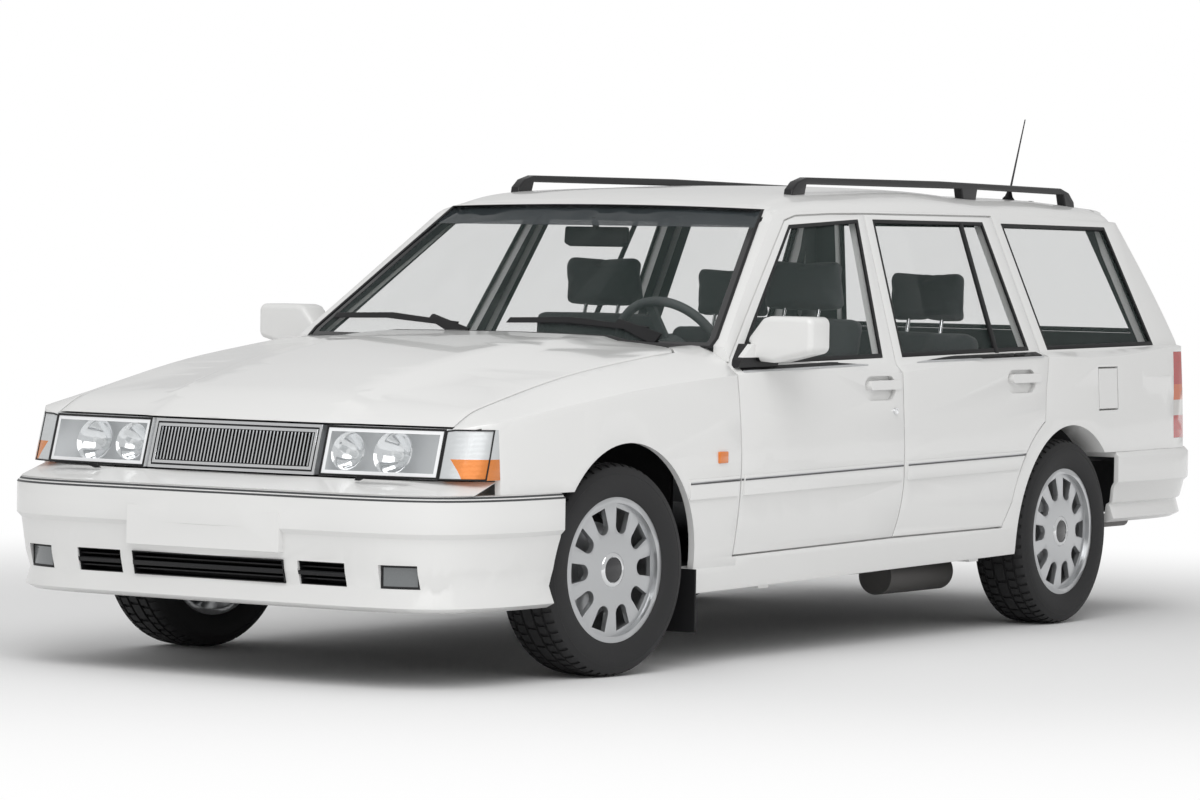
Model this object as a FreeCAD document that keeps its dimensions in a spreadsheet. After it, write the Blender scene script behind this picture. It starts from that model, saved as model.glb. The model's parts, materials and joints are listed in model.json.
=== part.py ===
import FreeCAD, Part
import Sketcher
import math
import os
from functools import lru_cache
from types import SimpleNamespace

from FreeCAD import Placement, Rotation, Vector

# A five-door station wagon with roof rails.
# Millimetres; +Z up, ground at z = 0, the front faces -Y and the car's left is +X.
# The origin lies on the ground under the middle of the car.

SIZES = {
    # The whole car
    "wheel_base": 2770, "front_overhang": 925, "rear_overhang": 1165, "skin_half_width": 869,
    "hood_height": 985, "belt_height": 893, "roof_height": 1463, "glass_foot_half": 825,
    "glass_foot_height": 915, "gutter_half": 631, "gutter_height": 1387, "sill_bottom": 240,
    "floor_height": 245, "load_floor_height": 540,
    # Shells, gaps and clearances
    "panel_thickness": 20, "hood_thickness": 24, "roof_thickness": 30, "door_depth": 90,
    "door_frame_depth": 38, "door_flange_depth": 20, "frame_flange_depth": 12, "pillar_depth": 112,
    "pillar_frame_depth": 56, "shut_gap": 6, "seal_gap": 0.3, "door_box_inset": 14, "door_box_gap": 10,
    "glass_thickness": 5, "glass_inset": 8, "sheet_thickness": 15, "overrun": 60,
    # Mouldings, handles and jack pads on the sides
    "moulding_proud": 6, "moulding_height": 60, "moulding_foot": 504, "moulding_end_gap": 16,
    "handle_foot": 784, "handle_rise": 8, "cup_length": 200, "cup_height": 78, "cup_depth": 16,
    "pull_height": 30, "pull_drop": 34, "pull_proud": 5, "jack_half": 30, "jack_inset": 80,
    "jack_place": 670, "jack_drop": 12,
    # Windscreen, nose and tail faces
    "screen_foot_back": 595, "screen_foot_height": 985, "screen_head_back": 1153,
    "screen_head_height": 1391, "screen_foot_half": 762, "screen_head_half": 596, "screen_thickness": 6,
    "nose_top_setback": 168, "nose_top_height": 742, "nose_foot_setback": 115, "nose_foot_height": 565,
    "tail_foot_setback": 130, "tail_foot_height": 600, "tail_waist_setback": 150,
    "tail_waist_height": 950, "tail_head_setback": 420, "tail_head_height": 1440, "tailgate_depth": 45,
    # Hood, fuel flap and the tailgate's hinges
    "hood_rear_back": 565, "hood_front_half": 704, "hood_rear_half": 736, "cowl_half": 690,
    "stop_radius": 12, "flap_width": 140, "flap_tall": 138, "flap_back": 2978, "flap_foot": 728,
    "flap_thickness": 8, "hinge_side": 300, "hinge_half": 15, "hinge_radius": 12, "hinge_back": 3461,
    "hinge_height": 1433,
    # Bumpers and the blank plate panel
    "band_top": 537, "band_foot": 447, "bumper_depth": 125, "bumper_shelf": 588, "rear_shelf": 600,
    "bumper_wall": 14, "bumper_seam": 553, "lip_rise": 63, "front_skirt_foot": 222,
    "rear_skirt_foot": 330, "rear_band_rise": 24, "plate_half": 275, "plate_foot": 379,
    "plate_top": 494, "plate_setback": 2,
    # Lamps, grille and air intakes
    "grille_half": 301, "lamp_inner_half": 317, "lamp_outer_half": 704, "lamp_foot": 596,
    "lamp_top": 738, "turn_lamp_back": 300, "lamp_depth": 70, "bar_thickness": 6, "bar_depth": 18,
    "bar_count": 20, "grille_frame": 22, "fog_inner": 590, "fog_outer": 700, "intake_foot": 290,
    "intake_top": 357, "intake_half": 272, "side_intake_inner": 320, "side_intake_outer": 482,
    "slat_height": 10, "tail_lamp_foot": 613, "tail_lamp_top": 918, "tail_lamp_inner": 690,
    # Tyres and wheels
    "tyre_radius": 314, "tyre_width": 198, "wheel_height": 314.2, "front_track": 1484,
    "rear_track": 1500, "rim_radius": 205, "rim_width": 172, "lip_radius": 214, "lip_width": 10,
    "lip_gap": 0.3, "rim_face": 78, "face_drop": 10, "rim_web": 16, "plate_radius": 104,
    "window_radius": 24, "window_middle": 134, "window_end": 181, "window_end_half": 31,
    "spoke_count": 10, "barrel_thickness": 9, "hub_radius": 62, "hub_inner": 24, "disc_radius": 138,
    "disc_thickness": 20, "arch_radius": 372, "arch_rear_radius": 362, "arch_height": 315,
    # Steering and suspension
    "steer_rest": 7.3, "steer_ratio": 16.5, "kingpin_lean": 11, "kingpin_inset": 70,
    "kingpin_radius": 26, "kingpin_up": 118, "kingpin_down": 105, "spindle_radius": 22,
    "spindle_length": 40, "strut_radius": 14, "spring_radius": 58, "spring_lift": 350,
    "tower_height": 720, "apron_inner": 440, "subframe_half": 150, "subframe_height": 190,
    "subframe_top": 250, "arm_half_width": 22, "arm_thickness": 26, "axle_tube_radius": 32,
    "wheel_clearance": 5,
    # Seats
    "seat_width": 500, "seat_length": 720, "seat_centre": 390, "seat_radius": 20,
    "seat_base_height": 60, "back_height": 800, "back_lean": 18, "front_seat_start": 1095,
    "bench_length": 700, "rear_seat_half": 618, "headrest_width": 260, "post_radius": 7,
    # Dashboard and steering wheel
    "dash_foot": 700, "dash_top": 925, "dash_half": 735, "dash_length": 330, "console_half": 95,
    "console_length": 560, "steering_radius": 188, "steering_rim_radius": 15, "steering_back": 965,
    "steering_height": 925, "steering_lean": 28, "steering_hub": 60, "column_radius": 38,
    "column_length": 200,
    # Engine, tank and exhaust
    "engine_width": 320, "engine_length": 760, "engine_tall": 500, "engine_front": 560,
    "bulkhead_back": 495, "support_front": 235, "support_depth": 40, "tank_width": 620,
    "tank_length": 420, "tank_tall": 74, "tank_front": 2010, "pipe_radius": 24, "muffler_radius": 62,
    "muffler_length": 420, "exhaust_side": 540, "tail_pipe_bend": 110, "tail_pipe_height": 304,
    # Roof rails, antenna, mirrors, wipers and mud flaps
    "rail_half": 528, "rail_width": 34, "rail_thickness": 24, "rail_front_back": 1455,
    "rail_length": 1880, "antenna_back": 2960, "antenna_side": 500, "antenna_length": 300,
    "antenna_radius": 4, "antenna_lean": 22, "antenna_foot_drop": 18.3, "mirror_inner": 816,
    "mirror_width": 231, "mirror_foot": 914, "mirror_tall": 142, "mirror_deep": 105,
    "mirror_back": 715, "mirror_corner": 24, "mirror_radius": 18, "mirror_stand": 20,
    "wiper_thickness": 14, "wiper_length": 560, "wiper_pivot": 1004, "wiper_left": 549,
    "wiper_right": -150, "mud_flap_width": 108, "mud_flap_tall": 190, "mud_flap_thickness": 8,
    "mud_flap_foot": 110, "mud_flap_gap": 6.3,
}

doc = FreeCAD.newDocument("station_wagon")
sheet = doc.addObject("Spreadsheet::Sheet", "sizes")
for row, (alias, value) in enumerate(SIZES.items(), start=1):
    sheet.set("A%d" % row, "'" + alias.replace("_", " "))
    sheet.set("B%d" % row, str(value))
    sheet.setAlias("B%d" % row, alias)
doc.recompute()
car = SimpleNamespace(**{alias: getattr(sheet, alias) for alias in SIZES})

# Places that several pieces share
car_length = car.front_overhang + car.wheel_base + car.rear_overhang
front_end = -car_length / 2
rear_end = car_length / 2
front_axle = front_end + car.front_overhang
rear_axle = front_axle + car.wheel_base
tumblehome = (car.glass_foot_half - car.gutter_half) / (car.gutter_height - car.glass_foot_height)
far_out = car.skin_half_width + 2 * car.overrun
far_up = car.roof_height + 2 * car.overrun

pieces = []


def behind(distance):
    """The y of a place this far behind the front axle."""
    return front_axle + distance


def station(share):
    """The y of a station given as a share of the wheelbase behind the front axle."""
    return front_axle + share * car.wheel_base


def keep(name, shape):
    """Files a formed piece under its own name."""
    piece = doc.addObject("Part::Feature", name)
    piece.Label = name
    piece.Shape = shape
    piece.Placement = Placement()
    pieces.append(piece)
    return piece


def bind(piece, formulas):
    """Ties the sizes and the place of a parametric object to the sheet."""
    for place, formula in formulas.items():
        piece.setExpression(place, formula)
    return piece


def mirrored(shape):
    """The same shape on the other side of the car."""
    return shape.mirror(Vector(), Vector(1, 0, 0))


def pair(shape):
    """Two like solids, left and right, that don't touch."""
    return Part.makeCompound(shape.Solids + mirrored(shape).Solids)


def spline(points):
    """One smooth edge through evenly timed points."""
    curve = Part.BSplineCurve()
    times = [float(count) for count in range(len(points))]
    curve.interpolate(Points=[Vector(*point) for point in points], Parameters=times)
    return curve.toShape()


def outline(corners, axis, low, high):
    """A prism along an axis; a corner is (a, b), and ("arc", through, end) rounds a stretch."""
    place = {
        "x": lambda a, b: Vector(low, a, b),
        "y": lambda a, b: Vector(a, low, b),
        "z": lambda a, b: Vector(a, b, low),
    }[axis]
    way = {"x": Vector(high - low, 0, 0), "y": Vector(0, high - low, 0), "z": Vector(0, 0, high - low)}[axis]
    first = place(*corners[0])
    here = first
    edges = []
    for corner in corners[1:]:
        if corner[0] == "arc":
            end = place(*corner[2])
            edges.append(Part.Arc(here, place(*corner[1]), end).toShape())
        else:
            end = place(*corner)
            edges.append(Part.makeLine(here, end))
        here = end
    if here.distanceToPoint(first) > car.seal_gap:
        edges.append(Part.makeLine(here, first))
    return Part.Face(Part.Wire(edges)).extrude(way)


def block(low, high):
    """A box between two corners."""
    size = [high[i] - low[i] for i in range(3)]
    return Part.makeBox(size[0], size[1], size[2], Vector(*low))


def tidy(shape):
    """Solids only, with split faces joined."""
    solids = [solid for solid in shape.removeSplitter().Solids]
    return solids[0] if len(solids) == 1 else Part.makeCompound(solids)


# Lower body: for each station its place, half width, and the heights of the crease, the hood shut
# line and the hood's middle, as shares of the wheelbase, skin width, belt height and hood height.
LOWER_STATION_SHARES = [
    (-0.298, 0.898, 0.784, 0.682, 0.719), (-0.273, 0.924, 0.809, 0.723, 0.761),
    (-0.247, 0.944, 0.834, 0.761, 0.805), (-0.222, 0.957, 0.851, 0.796, 0.839),
    (-0.179, 0.972, 0.869, 0.826, 0.871), (-0.107, 0.985, 0.897, 0.869, 0.915),
    (-0.020, 0.993, 0.928, 0.911, 0.955), (0.074, 0.997, 0.955, 0.944, 0.986),
    (0.164, 0.999, 0.973, 0.970, 1.000), (0.226, 1.000, 0.984, 0.977, 1.007),
    (0.435, 1.000, 0.993, 0.966, 0.990), (0.724, 1.000, 1.007, 0.970, 0.990),
    (0.977, 0.998, 1.018, 0.973, 0.990), (1.193, 0.986, 1.028, 0.975, 0.990),
    (1.384, 0.946, 1.037, 0.977, 0.990),
]
# Glasshouse: station, width, gutter height and roof height as shares
HOUSE_STATION_SHARES = [
    (0.160, 0.985, 0.893, 0.872), (0.327, 0.993, 0.948, 0.919), (0.384, 0.996, 0.970, 0.938),
    (0.428, 0.998, 0.985, 0.960), (0.471, 0.999, 0.994, 0.979), (0.543, 1.000, 0.998, 0.992),
    (0.652, 1.000, 1.000, 1.000), (0.868, 1.000, 1.001, 0.9995), (1.049, 0.997, 1.000, 0.994),
    (1.193, 0.990, 0.995, 0.984), (1.283, 0.984, 0.987, 0.975), (1.384, 0.974, 0.973, 0.958),
]
# The body side between sill and crease: height and inset, as shares
SIDE_SHARES = [(0.17, 0.014), (0.50, 0.000), (0.78, 0.004)]
CREASE_INSET_SHARE = 0.012
FOOT_INSET_SHARE = 0.030
SHOULDER_SHARE = 0.6
SHUT_SHARE = 0.829
BAND_FRONT_SHARE = 0.345
BAND_REAR_SHARE = 0.466
BAND_WIDTH_SHARE = 0.065
BAND_FOOT_SHARE = 0.42
BAND_TOP_SHARE = 0.86
SILL_RAKE_SHARE = 0.0145
ROOF_PROFILE_SHARES = [(0.035, 0.38), (0.095, 0.64), (0.19, 0.83), (0.55, 0.96)]


def band_share(share):
    """How far out the hood's raised middle reaches at a station."""
    first = LOWER_STATION_SHARES[0][0]
    last = LOWER_STATION_SHARES[8][0]
    along = min(1, (share - first) / (last - first))
    return BAND_FRONT_SHARE + (BAND_REAR_SHARE - BAND_FRONT_SHARE) * along


def lower_section(row, inset):
    """One closed section across the lower body, drawn in by an inset."""
    share, width, crease, shut, crown = row
    y = station(share)
    half = width * car.skin_half_width
    foot = car.sill_bottom + SILL_RAKE_SHARE * y + inset
    crease_high = crease * car.belt_height - inset / 3
    shut_high = shut * car.hood_height - inset
    crown_high = crown * car.hood_height - inset
    shut_half = SHUT_SHARE * half - inset / 2
    band = band_share(share)
    band_in = band * car.skin_half_width
    band_out = (band + BAND_WIDTH_SHARE) * car.skin_half_width
    rise = crown_high - shut_high
    band_top = shut_high + BAND_TOP_SHARE * rise
    band_foot = shut_high + BAND_FOOT_SHARE * rise
    crease_half = half - CREASE_INSET_SHARE * car.skin_half_width - inset
    side = [(half - FOOT_INSET_SHARE * car.skin_half_width - inset, foot)]
    for upward, inward in SIDE_SHARES:
        side.append((half - inward * car.skin_half_width - inset, foot + upward * (crease_high - foot)))
    side.append((crease_half, crease_high))
    shoulder_half = (crease_half + shut_half) / 2
    shoulder_high = crease_high + SHOULDER_SHARE * (shut_high - crease_high)
    right = [
        spline([(a, y, b) for a, b in side]),
        spline([(crease_half, y, crease_high), (shoulder_half, y, shoulder_high),
                (shut_half, y, shut_high)]),
        Part.makeLine(Vector(shut_half, y, shut_high), Vector(band_out, y, band_foot)),
        Part.makeLine(Vector(band_out, y, band_foot), Vector(band_in, y, band_top)),
    ]
    middle = spline([(band_in, y, band_top), (0, y, crown_high), (-band_in, y, band_top)])
    left = [
        Part.makeLine(Vector(-band_in, y, band_top), Vector(-band_out, y, band_foot)),
        Part.makeLine(Vector(-band_out, y, band_foot), Vector(-shut_half, y, shut_high)),
        spline([(-shut_half, y, shut_high), (-shoulder_half, y, shoulder_high),
                (-crease_half, y, crease_high)]),
        spline([(-a, y, b) for a, b in reversed(side)]),
    ]
    bottom = Part.makeLine(Vector(-side[0][0], y, foot), Vector(side[0][0], y, foot))
    return Part.Wire(right + [middle] + left + [bottom])


@lru_cache(maxsize=None)
def lower_body(inset):
    """The lower body as one smooth solid."""
    return Part.makeLoft([lower_section(row, inset) for row in LOWER_STATION_SHARES], True)


def house_section(row, inset):
    """One closed section across the glasshouse, drawn in by an inset."""
    share, width, gutter, roof = row
    y = station(share)
    gutter_high = gutter * car.gutter_height
    roof_high = roof * car.roof_height - inset
    foot_high = car.belt_height - car.overrun

    def side_half(high):
        return width * (car.glass_foot_half - tumblehome * (high - car.glass_foot_height)) - inset

    foot_half = side_half(foot_high)
    gutter_half = side_half(gutter_high)
    rise = roof_high - gutter_high
    curve = [(gutter_half, gutter_high)]
    for inward, upward in ROOF_PROFILE_SHARES:
        curve.append((gutter_half * (1 - inward), gutter_high + upward * rise))
    whole = curve + [(0, roof_high)] + [(-a, b) for a, b in reversed(curve)]
    return Part.Wire([
        Part.makeLine(Vector(foot_half, y, foot_high), Vector(gutter_half, y, gutter_high)),
        spline([(a, y, b) for a, b in whole]),
        Part.makeLine(Vector(-gutter_half, y, gutter_high), Vector(-foot_half, y, foot_high)),
        Part.makeLine(Vector(-foot_half, y, foot_high), Vector(foot_half, y, foot_high)),
    ])


@lru_cache(maxsize=None)
def glasshouse(inset):
    """The glasshouse as one smooth solid, before the screens trim it."""
    return Part.makeLoft([house_section(row, inset) for row in HOUSE_STATION_SHARES], True)


def sloping_block(curve_shares, foot, head, low, high, far):
    """What lies on the far side of a bowed face that leans from a foot to a head (y, z)."""
    slope = (head[0] - foot[0]) / (head[1] - foot[1])
    base = foot[0] + slope * (low - foot[1])
    half = [(share * car.skin_half_width, base + bow * car.skin_half_width) for share, bow in curve_shares]
    whole = [(-x, y) for x, y in reversed(half[1:])] + half
    face_edge = spline([(x, y, low) for x, y in whole])
    start = Vector(whole[0][0], whole[0][1], low)
    end = Vector(whole[-1][0], whole[-1][1], low)
    corner_end = Vector(end.x, far, low)
    corner_start = Vector(start.x, far, low)
    edges = [face_edge, Part.makeLine(end, corner_end), Part.makeLine(corner_end, corner_start),
             Part.makeLine(corner_start, start)]
    return Part.Face(Part.Wire(edges)).extrude(Vector(0, slope * (high - low), high - low))


NOSE_SHARES = [(0, 0), (0.364, 0.008), (0.645, 0.028), (0.811, 0.053), (0.909, 0.098), (0.957, 0.167),
               (0.982, 0.30), (1.04, 0.80)]
TAIL_SHARES = [(0, 0), (0.40, -0.010), (0.69, -0.029), (0.863, -0.080), (0.944, -0.138), (0.982, -0.225),
               (1.04, -0.80)]
SCREEN_SHARES = [(0, 0), (0.44, 0.013), (0.877, 0.053), (1.04, 0.080)]


def nose_block(shift):
    """All that lies behind the face of grille and lamps, moved back by a shift."""
    foot = (front_end + car.nose_foot_setback + shift, car.nose_foot_height)
    head = (front_end + car.nose_top_setback + shift, car.nose_top_height)
    return sloping_block(NOSE_SHARES, foot, head, 0, far_up, rear_end + car.overrun)


@lru_cache(maxsize=None)
def tail_block(shift):
    """All that lies ahead of the tail face, moved forward by a shift."""
    foot = (rear_end - car.tail_foot_setback - shift, car.tail_foot_height)
    waist = (rear_end - car.tail_waist_setback - shift, car.tail_waist_height)
    head = (rear_end - car.tail_head_setback - shift, car.tail_head_height)
    far = front_end - 6 * car.overrun
    lower = sloping_block(TAIL_SHARES, foot, waist, 0, far_up, far)
    upper = sloping_block(TAIL_SHARES, waist, head, 0, far_up, far)
    return lower.common(upper)


@lru_cache(maxsize=None)
def screen_block(shift):
    """All that lies behind the windscreen's outer face, moved back by a shift."""
    foot = (behind(car.screen_foot_back) + shift, car.screen_foot_height)
    head = (behind(car.screen_head_back) + shift, car.screen_head_height)
    return sloping_block(SCREEN_SHARES, foot, head, car.belt_height / 2, far_up, rear_end + car.overrun)


nose = nose_block(0)
tail = tail_block(0)
screen = screen_block(0)
lower_outer = lower_body(0).common(nose).common(tail)
house_outer = glasshouse(0).common(screen).common(tail)
outer = lower_outer.fuse(house_outer)


def shell(region, lower_inset, house_inset):
    """The wall of the body within a region, as thick as the insets of its lower and upper part."""
    return region.common(outer).cut([lower_body(lower_inset), glasshouse(house_inset)])


# Outlines on the body side: (share of the wheelbase behind the front axle, share of the gutter height)
FRONT_DOOR_SHARES = [
    (0.2130, 0.238), ("arc", (0.2209, 0.404), (0.2155, 0.644)), (0.2256, 0.669), (0.4379, 0.9735),
    (0.4657, 0.985), (0.5433, 0.991), (0.6235, 0.9935), (0.5823, 0.6525), (0.5830, 0.404),
    ("arc", (0.5787, 0.317), (0.5643, 0.2487)),
]
REAR_DOOR_SHARES = [
    (0.5643, 0.2487), ("arc", (0.5787, 0.317), (0.5830, 0.404)), (0.5823, 0.6525), (0.6235, 0.9935),
    (0.9350, 0.9950), (0.9426, 0.6655), (0.9325, 0.573), (0.9289, 0.5004),
    ("arc", (0.8866, 0.4376), (0.8502, 0.310)), (0.8318, 0.2596), (0.8303, 0.2509),
]
FRONT_WINDOW_SHARES = [(0.2653, 0.6535), (0.2653, 0.6980), (0.4440, 0.9625), (0.6061, 0.979),
                       (0.5567, 0.6615)]
REAR_WINDOW_SHARES = [(0.6011, 0.6620), (0.6397, 0.9798), (0.9087, 0.9798), (0.9162, 0.6713)]
QUARTER_WINDOW_SHARES = [(0.9635, 0.6720), (0.9541, 0.9777), (1.2350, 0.9748), (1.2610, 0.6780)]
GUTTER_SHARES = [(0.380, 0.9500), (0.428, 0.9830), (0.471, 0.9935), (0.543, 0.9980), (0.652, 1.0000),
                 (0.900, 1.0010), (1.120, 0.9990), (1.230, 0.9930), (1.320, 0.9840)]
# Outlines seen from behind and from the front (x share of the skin's half width, share of the roof height)
TAILGATE_SHARES = [(0.690, 0.416), (0.780, 0.440), (0.788, 0.630), (0.798, 0.655), (0.660, 0.960),
                   (0.640, 1.08)]
TAIL_GLASS_SHARES = [(0.700, 0.668), (0.588, 0.930)]
# Rear edge of the hood (x share of its half width, y as share of the same)
HOOD_EDGE_SHARES = [(0, 0), (0.54, -0.024), (0.82, -0.082), (0.95, -0.150), (1.0, -0.200)]
# Bumper path in plan and its section (share of the band's face: inward, height)
BUMPER_PATH_SHARES = [(0, 0), (0.40, 0.007), (0.71, 0.030), (0.875, 0.107), (0.962, 0.265), (0.997, 0.47),
                      (1.004, 0.655)]
REAR_BUMPER_END_SHARES = [(1.004, 0.95)]


SIDE_REGION_SHARES = [(0.871, 0.10), (0.871, 0.60), (0.640, 0.93), (0.600, 1.05), (1.10, 1.05), (1.10, 0.10)]


def side_points(shares):
    """Points of a side outline in (y, z)."""
    points = []
    for item in shares:
        if item[0] == "arc":
            points.append(("arc", *[(station(a), b * car.gutter_height) for a, b in item[1:]]))
        else:
            points.append((station(item[0]), item[1] * car.gutter_height))
    return points


def side_prism(shares, offset):
    """A side outline, grown or drawn in by an offset, run through the car's left side."""
    inner = car.gutter_half - car.pillar_frame_depth - car.door_box_inset
    face = outline(side_points(shares), "x", inner, far_out)
    if offset:
        flat = [flat for flat in face.Faces if abs(flat.CenterOfMass.x - inner) < car.seal_gap][0]
        grown = flat.makeOffset2D(offset, 2)
        face = grown.extrude(Vector(far_out - inner, 0, 0))
    return face


def door_panel(shares, window_shares):
    """A door as thick as the whole door: an outer skin layer, and an inner box drawn in from it."""
    half_gap = car.shut_gap / 2
    skin = shell(side_prism(shares, -half_gap), car.door_flange_depth, car.frame_flange_depth)
    box = shell(side_prism(shares, -half_gap - car.door_box_inset), car.door_depth, car.door_frame_depth)
    return skin.fuse(box).cut(side_prism(window_shares, 0))


def moulding(shares, low_share, high_share):
    """A rubbing strip that follows the body side within a side outline."""
    low = car.moulding_foot
    high = low + car.moulding_height
    band = outline([
        (station(low_share), raked_height(low, low_share)),
        (station(high_share), raked_height(low, high_share)),
        (station(high_share), raked_height(high, high_share)),
        (station(low_share), raked_height(high, low_share)),
    ], "x", car.gutter_half, far_out)
    strip = lower_body(-car.moulding_proud).common(band).cut(lower_body(car.moulding_proud))
    return strip.common(side_prism(shares, -car.moulding_end_gap)) if shares else strip


def raked_height(high, share):
    """A height on the body side, where the lines rise towards the rear."""
    return high + SILL_RAKE_SHARE * share * car.wheel_base


PULL_START_SHARE = 0.012
FRONT_HANDLE_SHARE = 0.4928
REAR_HANDLE_SHARE = 0.8332
FRONT_MOULDING_SHARES = (0.19, 0.60)
REAR_MOULDING_SHARES = (0.56, 0.90)
FENDER_MOULDING_SHARES = (0.115, 0.24)


def pane(window, clear):
    """A window pane that fills its opening in the side, a clearance short of its edge."""
    layer = glasshouse(car.glass_inset).cut(glasshouse(car.glass_inset + car.glass_thickness))
    return layer.common(side_prism(window, -clear))


def slot(low_share, length, foot, height):
    """A long round-ended opening in the body side, from its front end and its foot."""
    start = station(low_share)
    half = height / 2
    end = start + length
    return outline([
        (start + half, foot), (end - half, foot), ("arc", (end, foot + half), (end - half, foot + height)),
        (start + half, foot + height), ("arc", (start, foot + half), (start + half, foot)),
    ], "x", side_inner, far_out)


def with_handle(door, low_share, foot):
    """Cuts the door handle's cup and sets the pull across it."""
    cup = slot(low_share, car.cup_length, foot, car.cup_height).cut(lower_body(car.cup_depth))
    pull_share = low_share + PULL_START_SHARE
    pull = lower_body(-car.pull_proud).common(
        slot(pull_share, car.cup_length, foot + car.pull_drop, car.pull_height))
    bar = pull.cut(lower_body(car.pull_proud))
    ends = []
    start = station(pull_share)
    for begin in (start, start + car.cup_length - car.pull_height):
        ends.append(block((side_inner, begin, 0), (far_out, begin + car.pull_height, far_up)))
    posts = pull.cut(lower_body(car.cup_depth + car.pull_proud)).common(ends[0].fuse(ends[1]))
    return door.cut(cup).fuse([bar, posts])


side_inner = SIDE_REGION_SHARES[0][0] * car.skin_half_width
door_front_panel = door_panel(FRONT_DOOR_SHARES, FRONT_WINDOW_SHARES).fuse(
    moulding(FRONT_DOOR_SHARES, *FRONT_MOULDING_SHARES))
door_rear_panel = door_panel(REAR_DOOR_SHARES, REAR_WINDOW_SHARES).fuse(
    moulding(REAR_DOOR_SHARES, *REAR_MOULDING_SHARES))
door_front_solid = tidy(with_handle(door_front_panel, FRONT_HANDLE_SHARE, car.handle_foot))
door_rear_solid = tidy(with_handle(door_rear_panel, REAR_HANDLE_SHARE, car.handle_foot + car.handle_rise))
front_pane = tidy(pane(FRONT_WINDOW_SHARES, 0))
rear_pane = tidy(pane(REAR_WINDOW_SHARES, 0))
keep("door_front_left", door_front_solid)
keep("door_front_right", mirrored(door_front_solid))
keep("door_rear_left", door_rear_solid)
keep("door_rear_right", mirrored(door_rear_solid))
keep("glass_front_left", front_pane)
keep("glass_front_right", mirrored(front_pane))
keep("glass_rear_left", rear_pane)
keep("glass_rear_right", mirrored(rear_pane))

# The fixed side of the body: pillars, sill, quarter panel and roof rail below the gutter


def gutter_prism():
    """All that lies above the gutter line."""
    line = [(-far_out, station(a), b * car.gutter_height) for a, b in GUTTER_SHARES]
    edge = spline(line)
    first = Vector(*line[0])
    last = Vector(*line[-1])
    top_last = Vector(-far_out, last.y, far_up)
    top_first = Vector(-far_out, first.y, far_up)
    edges = [edge, Part.makeLine(last, top_last), Part.makeLine(top_last, top_first),
             Part.makeLine(top_first, first)]
    return Part.Face(Part.Wire(edges)).extrude(Vector(2 * far_out, 0, 0))


def across(shares, gap=0):
    """A prism through the car's tail from an outline of its left half, grown by a gap."""
    left = [(a * car.skin_half_width, b * car.roof_height) for a, b in shares]
    right = [(-a, b) for a, b in reversed(left)]
    prism = outline(left + right, "y", rear_axle, rear_end)
    if gap:
        flat = [flat for flat in prism.Faces if abs(flat.CenterOfMass.y - rear_axle) < car.seal_gap][0]
        prism = flat.makeOffset2D(gap, 2).extrude(Vector(0, rear_end - rear_axle, 0))
    return prism


def arch(y, radius, inner):
    """The round space over a wheel, open through the body side."""
    return Part.makeCylinder(radius, far_out - inner, Vector(inner, y, car.arch_height), Vector(1, 0, 0))


above_gutter = gutter_prism()


def windscreen_prism():
    """The windscreen's outline, run along the car through its slope."""
    half = [(car.screen_foot_half, car.screen_foot_height - car.overrun),
            (car.screen_foot_half, car.screen_foot_height),
            (car.screen_head_half, car.screen_head_height - car.overrun / 6)]
    corners = [(-a, b) for a, b in half]
    points = corners + [("arc", (0, car.screen_head_height), half[-1])] + list(reversed(half))[1:]
    return outline(points, "y", front_axle, behind(car.screen_head_back) + car.overrun)


def windscreen():
    """The bonded windscreen, bowed across the car."""
    glass = glasshouse(0).common(windscreen_prism()).common(screen).cut(screen_block(car.screen_thickness))
    floor_cut = block((-far_out, front_end, 0), (far_out, rear_end, car.screen_foot_height - car.overrun / 2))
    return glass.cut(floor_cut)


def door_opening(shares):
    """What a door's aperture takes out of the body side: room for its skin, and for its box right through."""
    half_gap = car.shut_gap / 2
    seat = [lower_body(car.door_flange_depth + car.seal_gap), glasshouse(car.frame_flange_depth + car.seal_gap)]
    room = side_prism(shares, half_gap).cut(seat)
    return [room, side_prism(shares, car.door_box_gap - half_gap - car.door_box_inset)]


def hood_prism(gap):
    """The hood's outline in plan, grown by a gap and run up through the body."""
    rear = behind(car.hood_rear_back) + gap
    half = car.hood_rear_half + gap
    curve = [(share * half, rear + back * car.hood_rear_half) for share, back in HOOD_EDGE_SHARES]
    whole = [(-x, y, 0) for x, y in reversed(curve[1:])] + [(x, y, 0) for x, y in curve]
    first = Vector(*whole[0])
    last = Vector(*whole[-1])
    front = front_end - car.overrun
    front_right = Vector(-car.hood_front_half - gap, front, 0)
    front_left = Vector(car.hood_front_half + gap, front, 0)
    edges = [spline(whole), Part.makeLine(last, front_left), Part.makeLine(front_left, front_right),
             Part.makeLine(front_right, first)]
    return Part.Face(Part.Wire(edges)).extrude(Vector(0, 0, far_up))


fender_rear = station(FRONT_DOOR_SHARES[1][1][0])
sill_front = front_axle + car.arch_radius - car.shut_gap
fender_foot = car.sill_bottom + car.overrun
rear_seam = car.bumper_seam + car.rear_band_rise
lamp_back = front_end + car.turn_lamp_back
cowl_front = behind(car.hood_rear_back) - car.hood_rear_half / 4
front_doors_out = side_prism(FRONT_DOOR_SHARES, car.shut_gap / 2)
front_arch = arch(front_axle, car.arch_radius, side_inner - car.overrun)
rear_arch = arch(rear_axle, car.arch_rear_radius, side_inner - 2 * car.overrun)
tailgate_room = across(TAILGATE_SHARES, car.shut_gap)
tail_lamp_box = block((car.tail_lamp_inner, rear_axle, car.tail_lamp_foot),
                      (far_out, rear_end, car.tail_lamp_top))
tail_lamp_room = tail_lamp_box.cut(tail_block(car.lamp_depth))


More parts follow.
